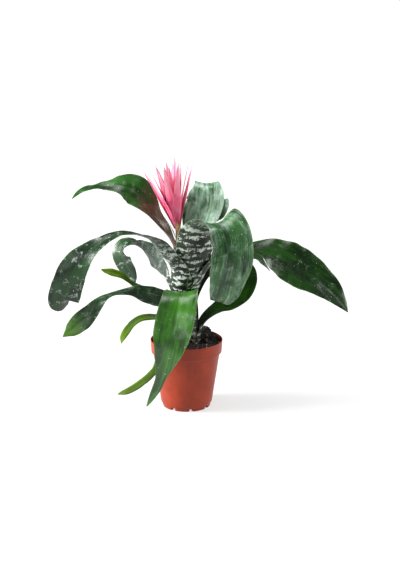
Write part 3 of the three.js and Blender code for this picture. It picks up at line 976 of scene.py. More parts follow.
@dataclass
class Strap:
    """A long cupped blade swept along stations of place, width, roll, cup and level."""

    name: str
    heading: float
    stations: np.ndarray
    row_step: float
    columns: int
    sheath_thickness: float
    blade_thickness: float
    thickness_base: float
    thickness_rate: float
    coordinate_shift: float = 0.0

    def rows(self) -> np.ndarray:
        """Station numbers at which cross-sections stand, a row step apart."""
        fine = np.linspace(0, len(self.stations) - 1, 60 * (len(self.stations) - 1) + 1)
        path = curve_through(self.stations[:, :3], fine)[0]
        walked = np.concatenate([[0], np.cumsum(np.linalg.norm(np.diff(path, axis=0), axis=1))])
        count = max(8, int(round(walked[-1] / self.row_step)))
        return np.interp(np.linspace(0, walked[-1], count + 1), walked, fine)

    def sections(self, shape: "StrapShape") -> "StrapSurface":
        """Sweeps the cross-sections.

        Args:
            shape: How the strap's surface departs from the plain sweep.

        Returns:
            The upper and lower faces as grids of points, with the strap's own coordinates.
        """
        where = self.rows()
        values, change = curve_through(self.stations, where)
        path = values[:, :3]
        width, roll, cup, level = (values[:, k] for k in range(3, 7))
        level = np.clip(level, 0, 1)[:, None]
        walked = np.concatenate([[0], np.cumsum(np.linalg.norm(np.diff(path, axis=0), axis=1))])
        reach = walked / walked[-1]
        turn = math.radians(self.heading)
        right = np.array([math.sin(turn), -math.cos(turn), 0.0])
        tangent = unit(change[:, :3])
        side = unit(right - tangent * (tangent @ right)[:, None])
        inward = unit(np.cross(side, tangent))
        flat = np.array([-math.cos(turn), -math.sin(turn), 0.0])
        inward = unit(inward * (1 - level) + flat * level)
        side = unit(side * (1 - level) + right * level)
        spin = np.radians(roll)[:, None]
        side, inward = (
            side * np.cos(spin) + inward * np.sin(spin), inward * np.cos(spin) - side * np.sin(spin)
        )

        share = np.linspace(-1, 1, self.columns)
        share = np.sign(share) * (1 - (1 - np.abs(share)) ** 1.25)
        width = np.maximum(width * shape.width_change(walked, reach), 0.5)
        cup_angle = np.radians(np.maximum(cup, 4))
        radius = width / cup_angle
        blade = np.minimum(self.blade_thickness, self.thickness_base + self.thickness_rate * width)
        thickness = blade * (1 - level[:, 0]) + self.sheath_thickness * level[:, 0]
        phi = share[None, :] * cup_angle[:, None] / 2
        lift = shape.lift(walked, reach, share, width)
        edge = 1 + shape.edge_change(walked, share) * 2 / width[:, None]

        def face(depth: np.ndarray) -> np.ndarray:
            """One face of the strap at a depth under its lower skin."""
            far = radius[:, None] - depth - lift
            sideways = far * np.sin(phi) * edge
            upwards = radius[:, None] - far * np.cos(phi)
            shifted = path[:, None, :] + side[:, None, :] * sideways[..., None]
            return shifted + inward[:, None, :] * upwards[..., None]

        upper = face(thickness[:, None] * (1 - share[None, :] ** 4))
        lower = face(np.zeros((len(where), self.columns)))
        levels = np.repeat(level, self.columns, axis=1)
        return StrapSurface(self, upper, lower, walked, reach, share, width, levels)


class StrapShape:
    """A strap surface with no departure from the plain sweep; the leaf and bract shapes add theirs."""

    def width_change(self, walked: np.ndarray, reach: np.ndarray) -> np.ndarray:
        """Factor on the width at each row."""
        return np.ones_like(walked)

    def lift(self, walked: np.ndarray, reach: np.ndarray, share: np.ndarray, width: np.ndarray) -> np.ndarray:
        """Height over the plain sweep at each row and column."""
        return np.zeros((len(walked), len(share)))

    def edge_change(self, walked: np.ndarray, share: np.ndarray) -> np.ndarray:
        """Sideways push in millimetres at each row and column."""
        return np.zeros((len(walked), len(share)))


@dataclass
class StrapSurface:
    """The swept upper and lower faces of a strap, ready to become a mesh."""

    strap: Strap
    upper: np.ndarray
    lower: np.ndarray
    walked: np.ndarray
    reach: np.ndarray
    share: np.ndarray
    width: np.ndarray
    level: np.ndarray

    def mesh(self) -> bpy.types.Mesh:
        """Closes the two faces into one thin solid with its coordinates and zones.

        Returns:
            The mesh in metres.
        """
        rows, columns = self.upper.shape[:2]
        top = np.arange(rows * columns).reshape(rows, columns)
        under = np.full((rows, columns), -1)
        under[:, 1:-1] = rows * columns + np.arange(rows * (columns - 2)).reshape(rows, columns - 2)
        under[:, 0], under[:, -1] = top[:, 0], top[:, -1]
        points = np.vstack([self.upper.reshape(-1, 3), self.lower[:, 1:-1].reshape(-1, 3)])

        def sheet(grid: np.ndarray, turned: bool) -> np.ndarray:
            """Four-sided faces of a grid of vertex numbers."""
            quads = np.stack([grid[:-1, :-1], grid[:-1, 1:], grid[1:, 1:], grid[1:, :-1]], axis=-1)
            quads = quads.reshape(-1, 4)
            return quads[:, ::-1] if turned else quads

        faces = [*sheet(top, False), *sheet(under, True)]
        upper_count = (rows - 1) * (columns - 1)
        for row, turned in ((0, True), (rows - 1, False)):
            for k in range(columns - 1):
                ring = [top[row, k], top[row, k + 1], under[row, k + 1], under[row, k]]
                ring = list(dict.fromkeys(ring))
                faces.append(ring[::-1] if turned else ring)
        mesh = mesh_from(self.strap.name, points, faces, 55)
        self._write_layers(mesh, rows, columns, upper_count)
        return mesh

    def _write_layers(self, mesh: bpy.types.Mesh, rows: int, columns: int, upper_count: int) -> None:
        """Writes the strap's own coordinates and its zones on the mesh.

        Args:
            mesh: The strap's mesh.
            rows: Rows of the sweep.
            columns: Points across a face.
            upper_count: How many faces, the first ones, are on the upper side.
        """
        across = self.share[None, :] * self.width[:, None] / 20
        along = np.repeat(self.walked[:, None] / 10 + self.strap.coordinate_shift, columns, axis=1)
        edge = np.repeat(np.abs(self.share)[None, :], rows, axis=0)
        reach = np.repeat(self.reach[:, None], columns, axis=1)
        per_point = np.stack([across, along, edge, reach, self.level], axis=-1)
        per_point = np.vstack([per_point.reshape(-1, 5), per_point[:, 1:-1].reshape(-1, 5)])
        vertex = np.zeros(len(mesh.loops), dtype=np.int32)
        mesh.loops.foreach_get("vertex_index", vertex)
        starts = np.zeros(len(mesh.polygons), dtype=np.int32)
        mesh.polygons.foreach_get("loop_start", starts)
        first_below = starts[upper_count]
        corner = per_point[vertex]
        layer = mesh.uv_layers.new(name=STRAP_UV)
        layer.data.foreach_set("uv", corner[:, :2].astype(np.float32).ravel())
        zones = np.zeros((len(mesh.loops), 4), dtype=np.float32)
        zones[first_below:, 0] = 1
        zones[:, 1] = corner[:, 2]
        zones[:, 2] = corner[:, 3]
        zones[:, 3] = corner[:, 4]
        colours = mesh.color_attributes.new(STRAP_LAYER, "FLOAT_COLOR", "CORNER")
        colours.data.foreach_set("color", zones.ravel())

    def margin_points(
        self, spacing: float, first: float, last: float
    ) -> tuple[np.ndarray, np.ndarray, np.ndarray]:
        """Places along both margins, for what grows there.

        Args:
            spacing: Distance between places in millimetres.
            first: Distance from the base of the first place.
            last: Distance from the base of the last place.

        Returns:
            The places, the outward directions, and each place's share of the way from first to last.
        """
        where = np.arange(first, max(last, first + spacing), spacing)
        places, ways, shares = [], [], []
        for sign, edge, inner in ((-1, 0, 2), (1, -1, -3)):
            offset = where + (spacing * 0.5 if sign > 0 else 0)
            line = self.upper[:, edge]
            inside = (self.upper[:, inner] + self.lower[:, inner]) / 2
            outward = unit(line - inside)
            forward = unit(np.gradient(line, axis=0))
            heading = unit(outward + forward * 0.55)
            places.append(np.stack([np.interp(offset, self.walked, line[:, k]) for k in range(3)], axis=1))
            ways.append(np.stack([np.interp(offset, self.walked, heading[:, k]) for k in range(3)], axis=1))
            shares.append((offset - first) / max(last - first, 1))
        return np.vstack(places), unit(np.vstack(ways)), np.concatenate(shares)


@dataclass(frozen=True)
class UrnPlan:
    """The cup that the leaf bases form round the stem, whorl on whorl."""

    levels: tuple[float, ...] = (114, 125, 145, 165, 185, 200, 220, 240, 270, 300)
    rows: tuple[tuple[float, float, float], ...] = (
        (112, 8, 6), (150, 10, 3), (190, 14, -2), (230, 24, 2), (270, 31, 10), (310, 34, 17),
    )
    whorl_step: float = 2.4

    def axis(self, height: float) -> float:
        """Sideways place of the cup's axis at a height."""
        return float(np.interp(height, [row[0] for row in self.rows], [row[2] for row in self.rows]))

    def radius(self, height: float, whorl: int) -> float:
        """Radius of a whorl at a height."""
        inner = float(np.interp(height, [row[0] for row in self.rows], [row[1] for row in self.rows]))
        return inner + whorl * self.whorl_step


URN = UrnPlan()


@dataclass(frozen=True)
class LeafPlan:
    """One leaf: how its base wraps the cup, and the stations of its blade.

    A blade station is x, y, z, width, roll (degrees, right side up) and cup (degrees across).
    """

    name: str
    tone: LeafTone
    heading: float
    half: float
    whorl: int
    top: float
    blade: tuple[tuple[float, ...], ...]

    def stations(self) -> np.ndarray:
        """Every station from the base to the tip, with its level as the last value."""
        turn = math.radians(self.heading)
        rows = []
        for height in (level for level in URN.levels if level <= self.top):
            radius = URN.radius(height, self.whorl)
            place = (URN.axis(height) + radius * math.cos(turn), radius * math.sin(turn), height)
            rows.append((*place, radius * 2 * math.radians(self.half), 0, 2 * self.half, 1))
        rows += [(*row, 0.5 if k == 0 else 0.0) for k, row in enumerate(self.blade)]
        return np.array(rows, float)

    def sheath_count(self) -> int:
        """Number of stations inside the cup."""
        return sum(level <= self.top for level in URN.levels)


LEAVES: tuple[LeafPlan, ...] = (
    LeafPlan("leaf_upper_left", LeafTone.BRUISED, 185, 42, 0, 270, (
        (-26, -1, 284, 40, 0, 82), (-37, 0, 303, 34, 20, 84), (-50, 2, 321, 32, 34, 74),
        (-63, 3, 342, 42, 50, 60), (-79, 4, 362, 54, 62, 46), (-94, 4, 372, 48, 58, 38),
        (-108, 4, 375, 37, 44, 35), (-124, 4, 374, 29, 28, 36), (-140, 4, 373, 24, 14, 38),
        (-155, 4, 371, 22, 8, 36), (-168, 4, 367, 20, 12, 32), (-179, 4, 360, 14, 14, 24),
        (-187, 4, 352, 2, 12, 12),
    )),
    LeafPlan("leaf_back_centre", LeafTone.SILVERED, 78, 48, 0, 300, (
        (28, 37, 318, 60, 0, 72), (33, 41, 336, 63, 0, 54), (34, 46, 351, 61, 0, 50),
        (34, 53, 361, 47, 0, 50), (33, 65, 364, 38, 0, 46), (32, 84, 358, 37, 0, 40),
        (31, 104, 346, 34, 0, 36), (29, 120, 329, 26, 0, 28), (28, 130, 308, 2, 0, 12),
    )),
    LeafPlan("leaf_big_right", LeafTone.FROSTED, -61, 84, 1, 300, (
        (40, -36, 311, 94, -4, 122), (48, -44, 322, 86, -8, 92), (56, -51, 326, 76, -14, 64),
        (65, -58, 322, 68, -18, 44), (72, -66, 310, 66, -21, 30), (75, -73, 292, 66, -23, 24),
        (73, -78, 268, 68, -23, 22), (67, -79, 241, 60, -23, 22), (61, -75, 215, 48, -23, 22),
        (57, -67, 202, 38, -23, 20), (55, -58, 197, 29, -23, 18), (55, -50, 198, 16, -23, 14),
        (56, -45, 201, 2, -23, 10),
    )),
    LeafPlan("leaf_long_left", LeafTone.GREY, 205, 68, 2, 240, (
        (-34, -22, 260, 58, -10, 104), (-43, -29, 276, 50, -15, 78), (-52, -35, 290, 45, -15, 58),
        (-66, -42, 300, 38, -10, 48), (-86, -50, 307, 30, -2, 44), (-109, -58, 308, 26, 4, 42),
        (-131, -66, 300, 26, 16, 38), (-153, -73, 287, 33, 32, 34), (-170, -77, 271, 42, 48, 28),
        (-182, -80, 253, 48, 60, 24), (-189, -81, 234, 51, 65, 22), (-194, -80, 217, 52, 66, 20),
        (-198, -75, 205, 50, 66, 20), (-197, -67, 199, 42, 64, 18), (-193, -59, 199, 26, 60, 14),
        (-190, -54, 202, 2, 60, 10),
    )),
    LeafPlan("leaf_far_right", LeafTone.DEEP, -6, 60, 2, 220, (
        (37, 1, 238, 56, -5, 92), (46, 8, 248, 48, -5, 70), (60, 17, 254, 42, 0, 50),
        (78, 26, 257, 40, 0, 40), (105, 32, 260, 42, -3, 35), (124, 35, 259, 51, -20, 28),
        (143, 36, 252, 62, -36, 24), (165, 35, 241, 72, -46, 22), (194, 32, 224, 73, -48, 20),
        (221, 28, 207, 58, -48, 20), (241, 25, 191, 44, -48, 18), (257, 21, 173, 25, -46, 15),
        (269, 17, 156, 2, -45, 10),
    )),
    LeafPlan("leaf_back_outer", LeafTone.BANDED, 97, 30, 1, 300, (
        (17, 41, 312, 54, 0, 66), (27, 49, 321, 68, 0, 54), (34, 57, 328, 75, 0, 46),
        (36, 68, 331, 70, 0, 42), (36, 83, 326, 56, 0, 38), (35, 94, 314, 42, 0, 32),
        (34, 100, 298, 26, 0, 24), (34, 101, 280, 2, 0, 12),
    )),
    LeafPlan("leaf_left_folded", LeafTone.GREY, 160, 53, 3, 185, (
        (-30, 13, 206, 46, -20, 84), (-44, 27, 228, 52, -46, 58), (-57, 42, 245, 52, -62, 44),
        (-72, 54, 255, 46, -48, 36), (-86, 62, 260, 42, -12, 32), (-99, 67, 260, 40, 14, 32),
        (-108, 70, 253, 40, 44, 32), (-110, 72, 241, 40, 66, 30), (-105, 73, 228, 38, 76, 28),
        (-98, 72, 214, 32, 80, 24), (-91, 70, 202, 20, 80, 18), (-87, 68, 192, 2, 80, 10),
    )),
    LeafPlan("leaf_right_back", LeafTone.DEEP, 35, 43, 3, 185, (
        (24, 19, 208, 42, 0, 76), (38, 31, 226, 37, -5, 58), (58, 46, 240, 35, -15, 44),
        (82, 63, 247, 35, -25, 34), (107, 80, 241, 33, -34, 28), (125, 91, 227, 26, -38, 22),
        (142, 98, 204, 2, -38, 10),
    )),
    LeafPlan("leaf_front", LeafTone.GLOSSY, 275, 54, 3, 185, (
        (-3, -31, 200, 46, 0, 84), (-6, -43, 207, 53, 0, 58), (-8, -56, 208, 56, 0, 42),
        (-11, -69, 202, 58, 0, 34), (-14, -80, 191, 61, 0, 30), (-18, -88, 175, 63, -2, 28),
        (-23, -95, 152, 61, -4, 26), (-29, -100, 124, 47, -6, 26), (-37, -102, 95, 26, -8, 28),
        (-42, -101, 78, 17, -9, 28), (-48, -100, 62, 15, -10, 26), (-56, -98, 46, 10, -10, 20),
        (-64, -95, 30, 2, -10, 10),
    )),
    LeafPlan("leaf_lower_left", LeafTone.TIPPED, 195, 38, 4, 165, (
        (-28, -10, 177, 32, 20, 66), (-37, -18, 188, 34, 36, 54), (-52, -28, 195, 36, 45, 44),
        (-72, -37, 202, 34, 40, 38), (-94, -46, 208, 25, 20, 38), (-113, -53, 208, 18, 5, 38),
        (-129, -59, 204, 18, 16, 38), (-142, -64, 195, 21, 42, 34), (-155, -70, 181, 28, 60, 28),
        (-170, -75, 168, 32, 66, 24), (-184, -79, 156, 25, 66, 20), (-192, -81, 150, 13, 66, 15),
        (-199, -83, 145, 2, 66, 10),
    )),
    LeafPlan("leaf_lower_right", LeafTone.FRESH, 0, 44, 4, 125, (
        (27, 3, 138, 32, -10, 84), (38, 8, 152, 32, -18, 68), (54, 11, 165, 33, -28, 52),
        (73, 14, 176, 36, -48, 38), (90, 18, 192, 41, -68, 28), (97, 22, 212, 43, -76, 24),
        (98, 26, 230, 32, -78, 20), (95, 29, 244, 2, -78, 10),
    )),
    LeafPlan("leaf_back_low", LeafTone.DEEP, 95, 38, 4, 165, (
        (-1, 32, 185, 34, 0, 66), (0, 50, 202, 38, 0, 50), (0, 76, 216, 42, 0, 38),
        (-1, 106, 223, 44, 4, 32), (-2, 140, 220, 42, 6, 28), (-3, 172, 204, 36, 6, 26),
        (-4, 198, 176, 26, 6, 22), (-4, 214, 140, 2, 6, 10),
    )),
    LeafPlan("offset_leaf_upper", LeafTone.YOUNG, 165, 15, 5, 125, (
        (-20, 7, 143, 11, 0, 34), (-27, 11, 163, 13, 10, 34), (-36, 15, 180, 14, 20, 34),
        (-48, 18, 189, 14, 34, 34), (-66, 20, 192, 14, 44, 34), (-82, 20, 199, 13, 30, 34),
        (-95, 19, 208, 11, 8, 34), (-106, 18, 218, 12, 30, 34), (-123, 16, 225, 14, 44, 30),
        (-134, 15, 228, 9, 40, 20), (-141, 14, 231, 1.6, 40, 10),
    )),
    LeafPlan("offset_leaf_middle", LeafTone.YOUNG, 194, 11, 5, 125, (
        (-25, -14, 142, 9, 0, 30), (-32, -19, 152, 11, 8, 30), (-44, -24, 159, 13, 20, 30),
        (-60, -28, 161, 14, 34, 30), (-74, -32, 160, 13, 44, 30), (-87, -34, 153, 12, 52, 30),
        (-97, -36, 141, 13, 58, 28), (-104, -37, 130, 11, 56, 20), (-107, -38, 119, 1.6, 54, 10),
    )),
    LeafPlan("offset_leaf_low", LeafTone.YOUNG, 225, 11, 5, 125, (
        (-15, -24, 136, 9, 0, 30), (-24, -40, 141, 11, 0, 30), (-35, -58, 133, 12, 10, 30),
        (-42, -68, 112, 12, 20, 30), (-49, -72, 88, 12, 30, 30), (-62, -75, 73, 12, 40, 30),
        (-79, -78, 60, 12, 46, 30), (-95, -80, 51, 11, 50, 26), (-105, -81, 48, 7, 50, 18),
        (-112, -82, 46, 1.6, 50, 10),
    )),
)


@dataclass
class LeafShape(StrapShape):
    """Margin waves, broad swells, a shallow midrib groove and a slightly uneven outline."""

    seed: float
    sheath_end: float
    wave: float = 1.5
    wave_length: float = 34.0
    swell: float = 1.3
    groove: float = 0.55
    uneven: float = 0.022
    release: float = 55.0

    def free(self, walked: np.ndarray) -> np.ndarray:
        """How far a row is free of the cup, 0 to 1."""
        return ease(walked, self.sheath_end, self.sheath_end + self.release)

    def width_change(self, walked: np.ndarray, reach: np.ndarray) -> np.ndarray:
        """Factor on the width at each row."""
        places = np.stack([walked * 0.045, np.full_like(walked, self.seed), np.zeros_like(walked)], axis=1)
        return 1 + self.uneven * soft_noise(places) * self.free(walked)

    def lift(self, walked: np.ndarray, reach: np.ndarray, share: np.ndarray, width: np.ndarray) -> np.ndarray:
        """Height over the plain sweep at each row and column."""
        rows, columns = len(walked), len(share)
        free = (self.free(walked) * ease(1 - reach, 0.0, 0.12))[:, None]
        narrow = np.clip(width / 40, 0.15, 1.25)[:, None]
        places = np.zeros((rows, columns, 3))
        places[..., 0] = walked[:, None] * 0.021
        places[..., 1] = share[None, :] * width[:, None] * 0.02
        places[..., 2] = self.seed * 3.7
        swell = soft_noise(places) * self.swell
        places[..., 0] = walked[:, None] * 0.075
        places[..., 1] = share[None, :] * width[:, None] * 0.05
        ripple = soft_noise(places + 9.1) * 0.42
        side_turn = np.where(share < 0, 0.0, 2.1)[None, :]
        drift = soft_noise(np.stack([walked * 0.012, np.full(rows, self.seed + 4), np.zeros(rows)], axis=1))
        phase = walked[:, None] / self.wave_length * 2 * math.pi + self.seed + side_turn + drift[:, None] * 4
        swing = 0.55 + 0.45 * np.sin(walked[:, None] / 71 + self.seed * 2 + side_turn)
        waves = np.sin(phase) * swing * np.abs(share)[None, :] ** 2.4 * self.wave
        groove = -self.groove * np.exp(-((share[None, :] * width[:, None] / 2 / 2.6) ** 2))
        channel = groove * (0.25 + 0.75 * free) * np.minimum(narrow, 1)
        return (swell + ripple + waves) * free * narrow + channel

    def edge_change(self, walked: np.ndarray, share: np.ndarray) -> np.ndarray:
        """Sideways push in millimetres at each row and column."""
        rows = len(walked)
        sides = []
        for sign in (-1, 1):
            places = np.stack([walked * 0.11, np.full(rows, self.seed + sign), np.zeros(rows)], axis=1)
            sides.append(soft_noise(places) * 0.45 * self.free(walked))
        push = np.where(share[None, :] < 0, sides[0][:, None], sides[1][:, None])
        return push * np.abs(share)[None, :] ** 6


@dataclass
class Teeth:
    """Small pointed teeth, gathered from every margin and grown in one tree of nodes."""

    name: str
    slot: str
    finish: "ToothFinish"
    length: float
    width: float
    places: list[np.ndarray] = field(default_factory=list)
    ways: list[np.ndarray] = field(default_factory=list)
    sizes: list[np.ndarray] = field(default_factory=list)

    def add(self, places: np.ndarray, ways: np.ndarray, sizes: np.ndarray) -> None:
        """Adds teeth at places, pointing along ways, scaled by sizes."""
        self.places.append(places - ways * self.length * 0.3)
        self.ways.append(ways)
        self.sizes.append(sizes)

    def build(self) -> bpy.types.Object:
        """Grows the gathered teeth as one piece.

        Returns:
            The finished piece.
        """
        places, ways, sizes = np.vstack(self.places), np.vstack(self.ways), np.concatenate(self.sizes)
        mesh = bpy.data.meshes.new(self.name + "_places")
        mesh.from_pydata((places * MM).tolist(), [], [])
        way = mesh.attributes.new("way", "FLOAT_VECTOR", "POINT")
        way.data.foreach_set("vector", ways.astype(np.float32).ravel())
        mesh.attributes.new("tooth", "FLOAT", "POINT").data.foreach_set("value", sizes.astype(np.float32))
        tree = GeometryTree(self.name, {"Length": self.length * MM, "Width": self.width * MM})
        cone = tree.node(
            "GeometryNodeMeshCone", {"fill_type": "NONE"},
            {
                "Vertices": 5, "Radius Top": 0.0, "Radius Bottom": tree.size("Width"),
                "Depth": tree.size("Length"),
            },
        )
        turned = tree.node(
            "FunctionNodeAlignRotationToVector", {"axis": "Z"},
            {"Vector": tree.attribute("way", "FLOAT_VECTOR")},
        )
        points = tree.node("GeometryNodeMeshToPoints", None, {"Mesh": tree.entry.outputs[0], "Radius": 0.0005})
        grown = tree.node(
            "GeometryNodeInstanceOnPoints", None,
            {
                "Points": points.outputs[0], "Instance": cone.outputs["Mesh"], "Rotation": turned.outputs[0],
                "Scale": tree.attribute("tooth", "FLOAT"),
            },
        )
        tree.close(grown.outputs[0], self.finish.material(self.name))
        piece = tree.grow(self.name, mesh)
        declare(piece, self.slot)
        return piece


@dataclass
class Leaves:
    """The strap leaves and the young offset leaves."""

    plans: tuple[LeafPlan, ...] = LEAVES
    row_step: float = 2.4
    columns: int = 29
    sheath_thickness: float = 1.1
    blade_thickness: float = 1.4
    tooth_spacing: float = 4.6
    pattern_step: float = 57.0
    young_columns: int = 15

    def build(self) -> list[bpy.types.Object]:
        """Builds and dresses every leaf with its margin teeth.

        Returns:
            The finished pieces.
        """
        materials = {tone: finish.material("leaf_" + tone.value) for tone, finish in LEAF_FINISHES.items()}
        teeth = Teeth("leaf_teeth", "leaf", ToothFinish(srgb(40, 34, 20), srgb(96, 82, 44)), 1.5, 0.5)
        pieces = []
        for number, plan in enumerate(self.plans):
            young = plan.tone is LeafTone.YOUNG
            strap = Strap(
                plan.name, plan.heading, plan.stations(), self.row_step,
                self.young_columns if young else self.columns,
                self.sheath_thickness, self.blade_thickness, thickness_base=0.25, thickness_rate=0.06,
                coordinate_shift=self.pattern_step * (number + 1),
            )
            sheath_end = self._sheath_length(strap, plan.sheath_count())
            shape = LeafShape(number * 1.9 + 0.7, sheath_end, wave=0.9 if young else 1.6)
            surface = strap.sections(shape)
            piece = link(plan.name, surface.mesh())
            piece.data.materials.append(materials[plan.tone])
            declare(piece, "offset_leaf" if young else "leaf", plan.name)
            last = surface.walked[-1] - 6
            places, ways, shares = surface.margin_points(self.tooth_spacing, sheath_end + 8, last)
            jitter = 0.8 + 0.35 * np.abs(soft_noise(places * 0.37))
            fade = ease(shares, 0.0, 0.06) * (0.55 + 0.45 * ease(1 - shares, 0.0, 0.25))
            teeth.add(places, ways, jitter * fade * (0.55 if young else 1.0))
            pieces.append(piece)
        pieces.append(teeth.build())
        return pieces

    @staticmethod
    def _sheath_length(strap: Strap, count: int) -> float:
        """Length of the strap inside the cup."""
        fine = np.linspace(0, count - 1, 40 * count)
        path = curve_through(strap.stations[:, :3], fine)[0]
        return float(np.linalg.norm(np.diff(path, axis=0), axis=1).sum())


# ---- Flower head ----


@dataclass(frozen=True)
class HeadPlan:
    """Where the flower head stands and how it leans."""

    place: tuple[float, float, float] = (-14, -4, 300)
    lean: float = 9.0

    def put(self, points: np.ndarray) -> np.ndarray:
        """Points of the head's own axes, moved to where the head stands."""
        turn = math.radians(self.lean)
        x = points[..., 0] * math.cos(turn) - points[..., 2] * math.sin(turn)
        z = points[..., 0] * math.sin(turn) + points[..., 2] * math.cos(turn)
        return np.stack([x, points[..., 1], z], axis=-1) + np.array(self.place)


HEAD = HeadPlan()


@dataclass(frozen=True)
class BractPlan:
    """One pointed bract: its turn round the head and its set."""

    name: str
    heading: float
    start: float
    length: float
    splay: float
    start_radius: float
    widest: float
    cup_limit: float = 76.0
    steps: int = 7

    def stations(self) -> np.ndarray:
        """Every station from the base to the tip, in the head's own axes."""
        turn = math.radians(self.heading)
        radius, height, rows = self.start_radius, self.start, []
        for step in range(self.steps + 1):
            t = step / self.steps
            angle = math.radians(self.splay * (0.85 + 0.4 * t))
            if step:
                radius += self.length / self.steps * math.sin(angle)
                height += self.length / self.steps * math.cos(angle)
            outline = min(1, 0.42 + 1.9 * t) * min(1, ((1 - t) / 0.62) ** 0.85)
            width = max(0.8, min(self.widest * outline, radius * math.radians(self.cup_limit)))
            cup = math.degrees(width / radius)
            rows.append((radius * math.cos(turn), radius * math.sin(turn), height, width, 0, cup, 0))
        return np.array(rows, float)


@dataclass
class BractShape(StrapShape):
    """A keeled bract with finely toothed margins and a gentle twist."""

    seed: float
    keel: float = 0.5
    tooth: float = 0.34
    tooth_pitch: float = 2.6

    def width_change(self, walked: np.ndarray, reach: np.ndarray) -> np.ndarray:
        """Factor on the width at each row."""
        return 1 - 0.35 * ease(reach, 0.9, 1.0)

    def lift(self, walked: np.ndarray, reach: np.ndarray, share: np.ndarray, width: np.ndarray) -> np.ndarray:
        """Height over the plain sweep at each row and column."""
        free = ease(reach, 0.12, 0.5)[:, None]
        span = np.clip(width / 12, 0, 1.2)[:, None]
        keel = -self.keel * (1 - np.abs(share)[None, :]) ** 1.5 * free
        swing = np.sin(walked[:, None] / 13 + self.seed + np.sign(share)[None, :])
        wave = swing * np.abs(share)[None, :] ** 2 * 0.4
        places = np.zeros((len(walked), len(share), 3))
        places[..., 0] = walked[:, None] * 0.06
        places[..., 1] = share[None, :] * 0.9
        places[..., 2] = self.seed
        return (keel + wave * free + soft_noise(places) * 0.35 * free) * span

    def edge_change(self, walked: np.ndarray, share: np.ndarray) -> np.ndarray:
        """Sideways push in millimetres at each row and column."""
        saw = (walked / self.tooth_pitch + np.sin(self.seed)) % 1.0
        teeth = (1 - saw) ** 1.6 * ease(walked, 18, 34) * ease(walked[-1] - walked, 4, 16)
        return self.tooth * teeth[:, None] * np.abs(share)[None, :] ** 10


@dataclass
class FlowerHead:
    """The pink bracts, spiralling up the head, and the two on the stalk below them."""

    count: int = 22
    first_turn: float = 20.0
    golden_angle: float = 137.508
    thickness: float = 0.7
    row_step: float = 0.75
    columns: int = 13
    pattern_step: float = 31.0
    stalk_bracts: tuple[BractPlan, ...] = (
        BractPlan("stalk_bract_left", 196, -9, 31, 13, 5.6, 8),
        BractPlan("stalk_bract_front", 282, -6, 27, 11, 5.4, 8),
    )

    def plans(self) -> list[BractPlan]:
        """The plan of every pink bract, from the lowest to the topmost."""
        plans = []
        for k in range(self.count):
            share = k / (self.count - 1)
            heading = self.first_turn + k * self.golden_angle
            length = (118 - 48 * share) * (1.01 + 0.07 * math.cos(math.radians(heading)))
            plans.append(BractPlan(
                f"bract_{k + 1:02d}", heading, 3 + 36 * share, length,
                20.5 - 15 * share, 4.6 - 1.2 * share, 17 - 3 * share,
            ))
        return plans

    def build(self) -> list[bpy.types.Object]:
        """Builds and dresses every bract.

        Returns:
            The finished pieces.
        """
        pieces = []
        pink = BractFinish().material("bract_pink")
        husk = HuskFinish().material("stalk_bract")
        for number, plan in enumerate([*self.plans(), *self.stalk_bracts]):
            strap = Strap(
                plan.name, plan.heading, plan.stations(), self.row_step, self.columns,
                self.thickness, self.thickness, thickness_base=0.1, thickness_rate=0.05,
                coordinate_shift=self.pattern_step * (number + 1),
            )
            surface = strap.sections(BractShape(number * 2.3 + 0.4))
            surface.upper, surface.lower = HEAD.put(surface.upper), HEAD.put(surface.lower)
            piece = link(plan.name, surface.mesh())
            on_stalk = plan.name.startswith("stalk")
            piece.data.materials.append(husk if on_stalk else pink)
            declare(piece, "stalk_bract" if on_stalk else "pink_bract", plan.name)
            pieces.append(piece)
        return pieces


@dataclass
class Stem:
    """The short woody stem and the flower stalk that grows out of it."""

    sides: int = 40
    row_step: float = 1.6
    rings: tuple[tuple[float, float, float, float], ...] = (
        (5.8, 0, 78, 16), (5.8, 0, 104, 17), (5.8, 0, 113, 15.5), (5.8, 0, 113.6, 6.3), (3, 0, 150, 6.2),
        (-3, 0, 190, 6), (-9, -1, 230, 5), (-13, -3, 270, 4.2), (-14, -4, 300, 3.5),
    )
    head_axis: tuple[tuple[float, float], ...] = ((10, 3.1), (25, 2.5), (44, 1.9), (50, 0.8))

    def build(self) -> bpy.types.Object:
        """Builds and dresses the stem.

        Returns:
            The finished piece.
        """
        tops = [(*HEAD.put(np.array([0.0, 0.0, height])), radius) for height, radius in self.head_axis]
        rows = np.array([*self.rings, *tops], float)
        steps = np.arange(rows[0, 2], rows[-1, 2], self.row_step)
        heights = np.concatenate([steps, [113.0, 113.6, rows[-1, 2]]])
        heights = np.unique(heights)
        turn = around(self.sides)
        points = []
        for z in heights:
            x, y, radius = (np.interp(z, rows[:, 2], rows[:, k]) for k in (0, 1, 3))
            rough = 1 + 0.05 * soft_noise(ring(turn, 0.8, z * 0.05)) + 0.02 * math.sin(z * 0.9)
            points.append(ring(turn, radius * rough, z, x, y))
        grid, faces = tube(len(heights), self.sides)
        faces += [grid[0][::-1], grid[-1]]
        piece = link("stem", mesh_from("stem", np.vstack(points), faces, 50))
        piece.data.materials.append(StemFinish().material("stem"))
        declare(piece, "stem", "stem")
        return piece


# ---- Potting mix and pot ----


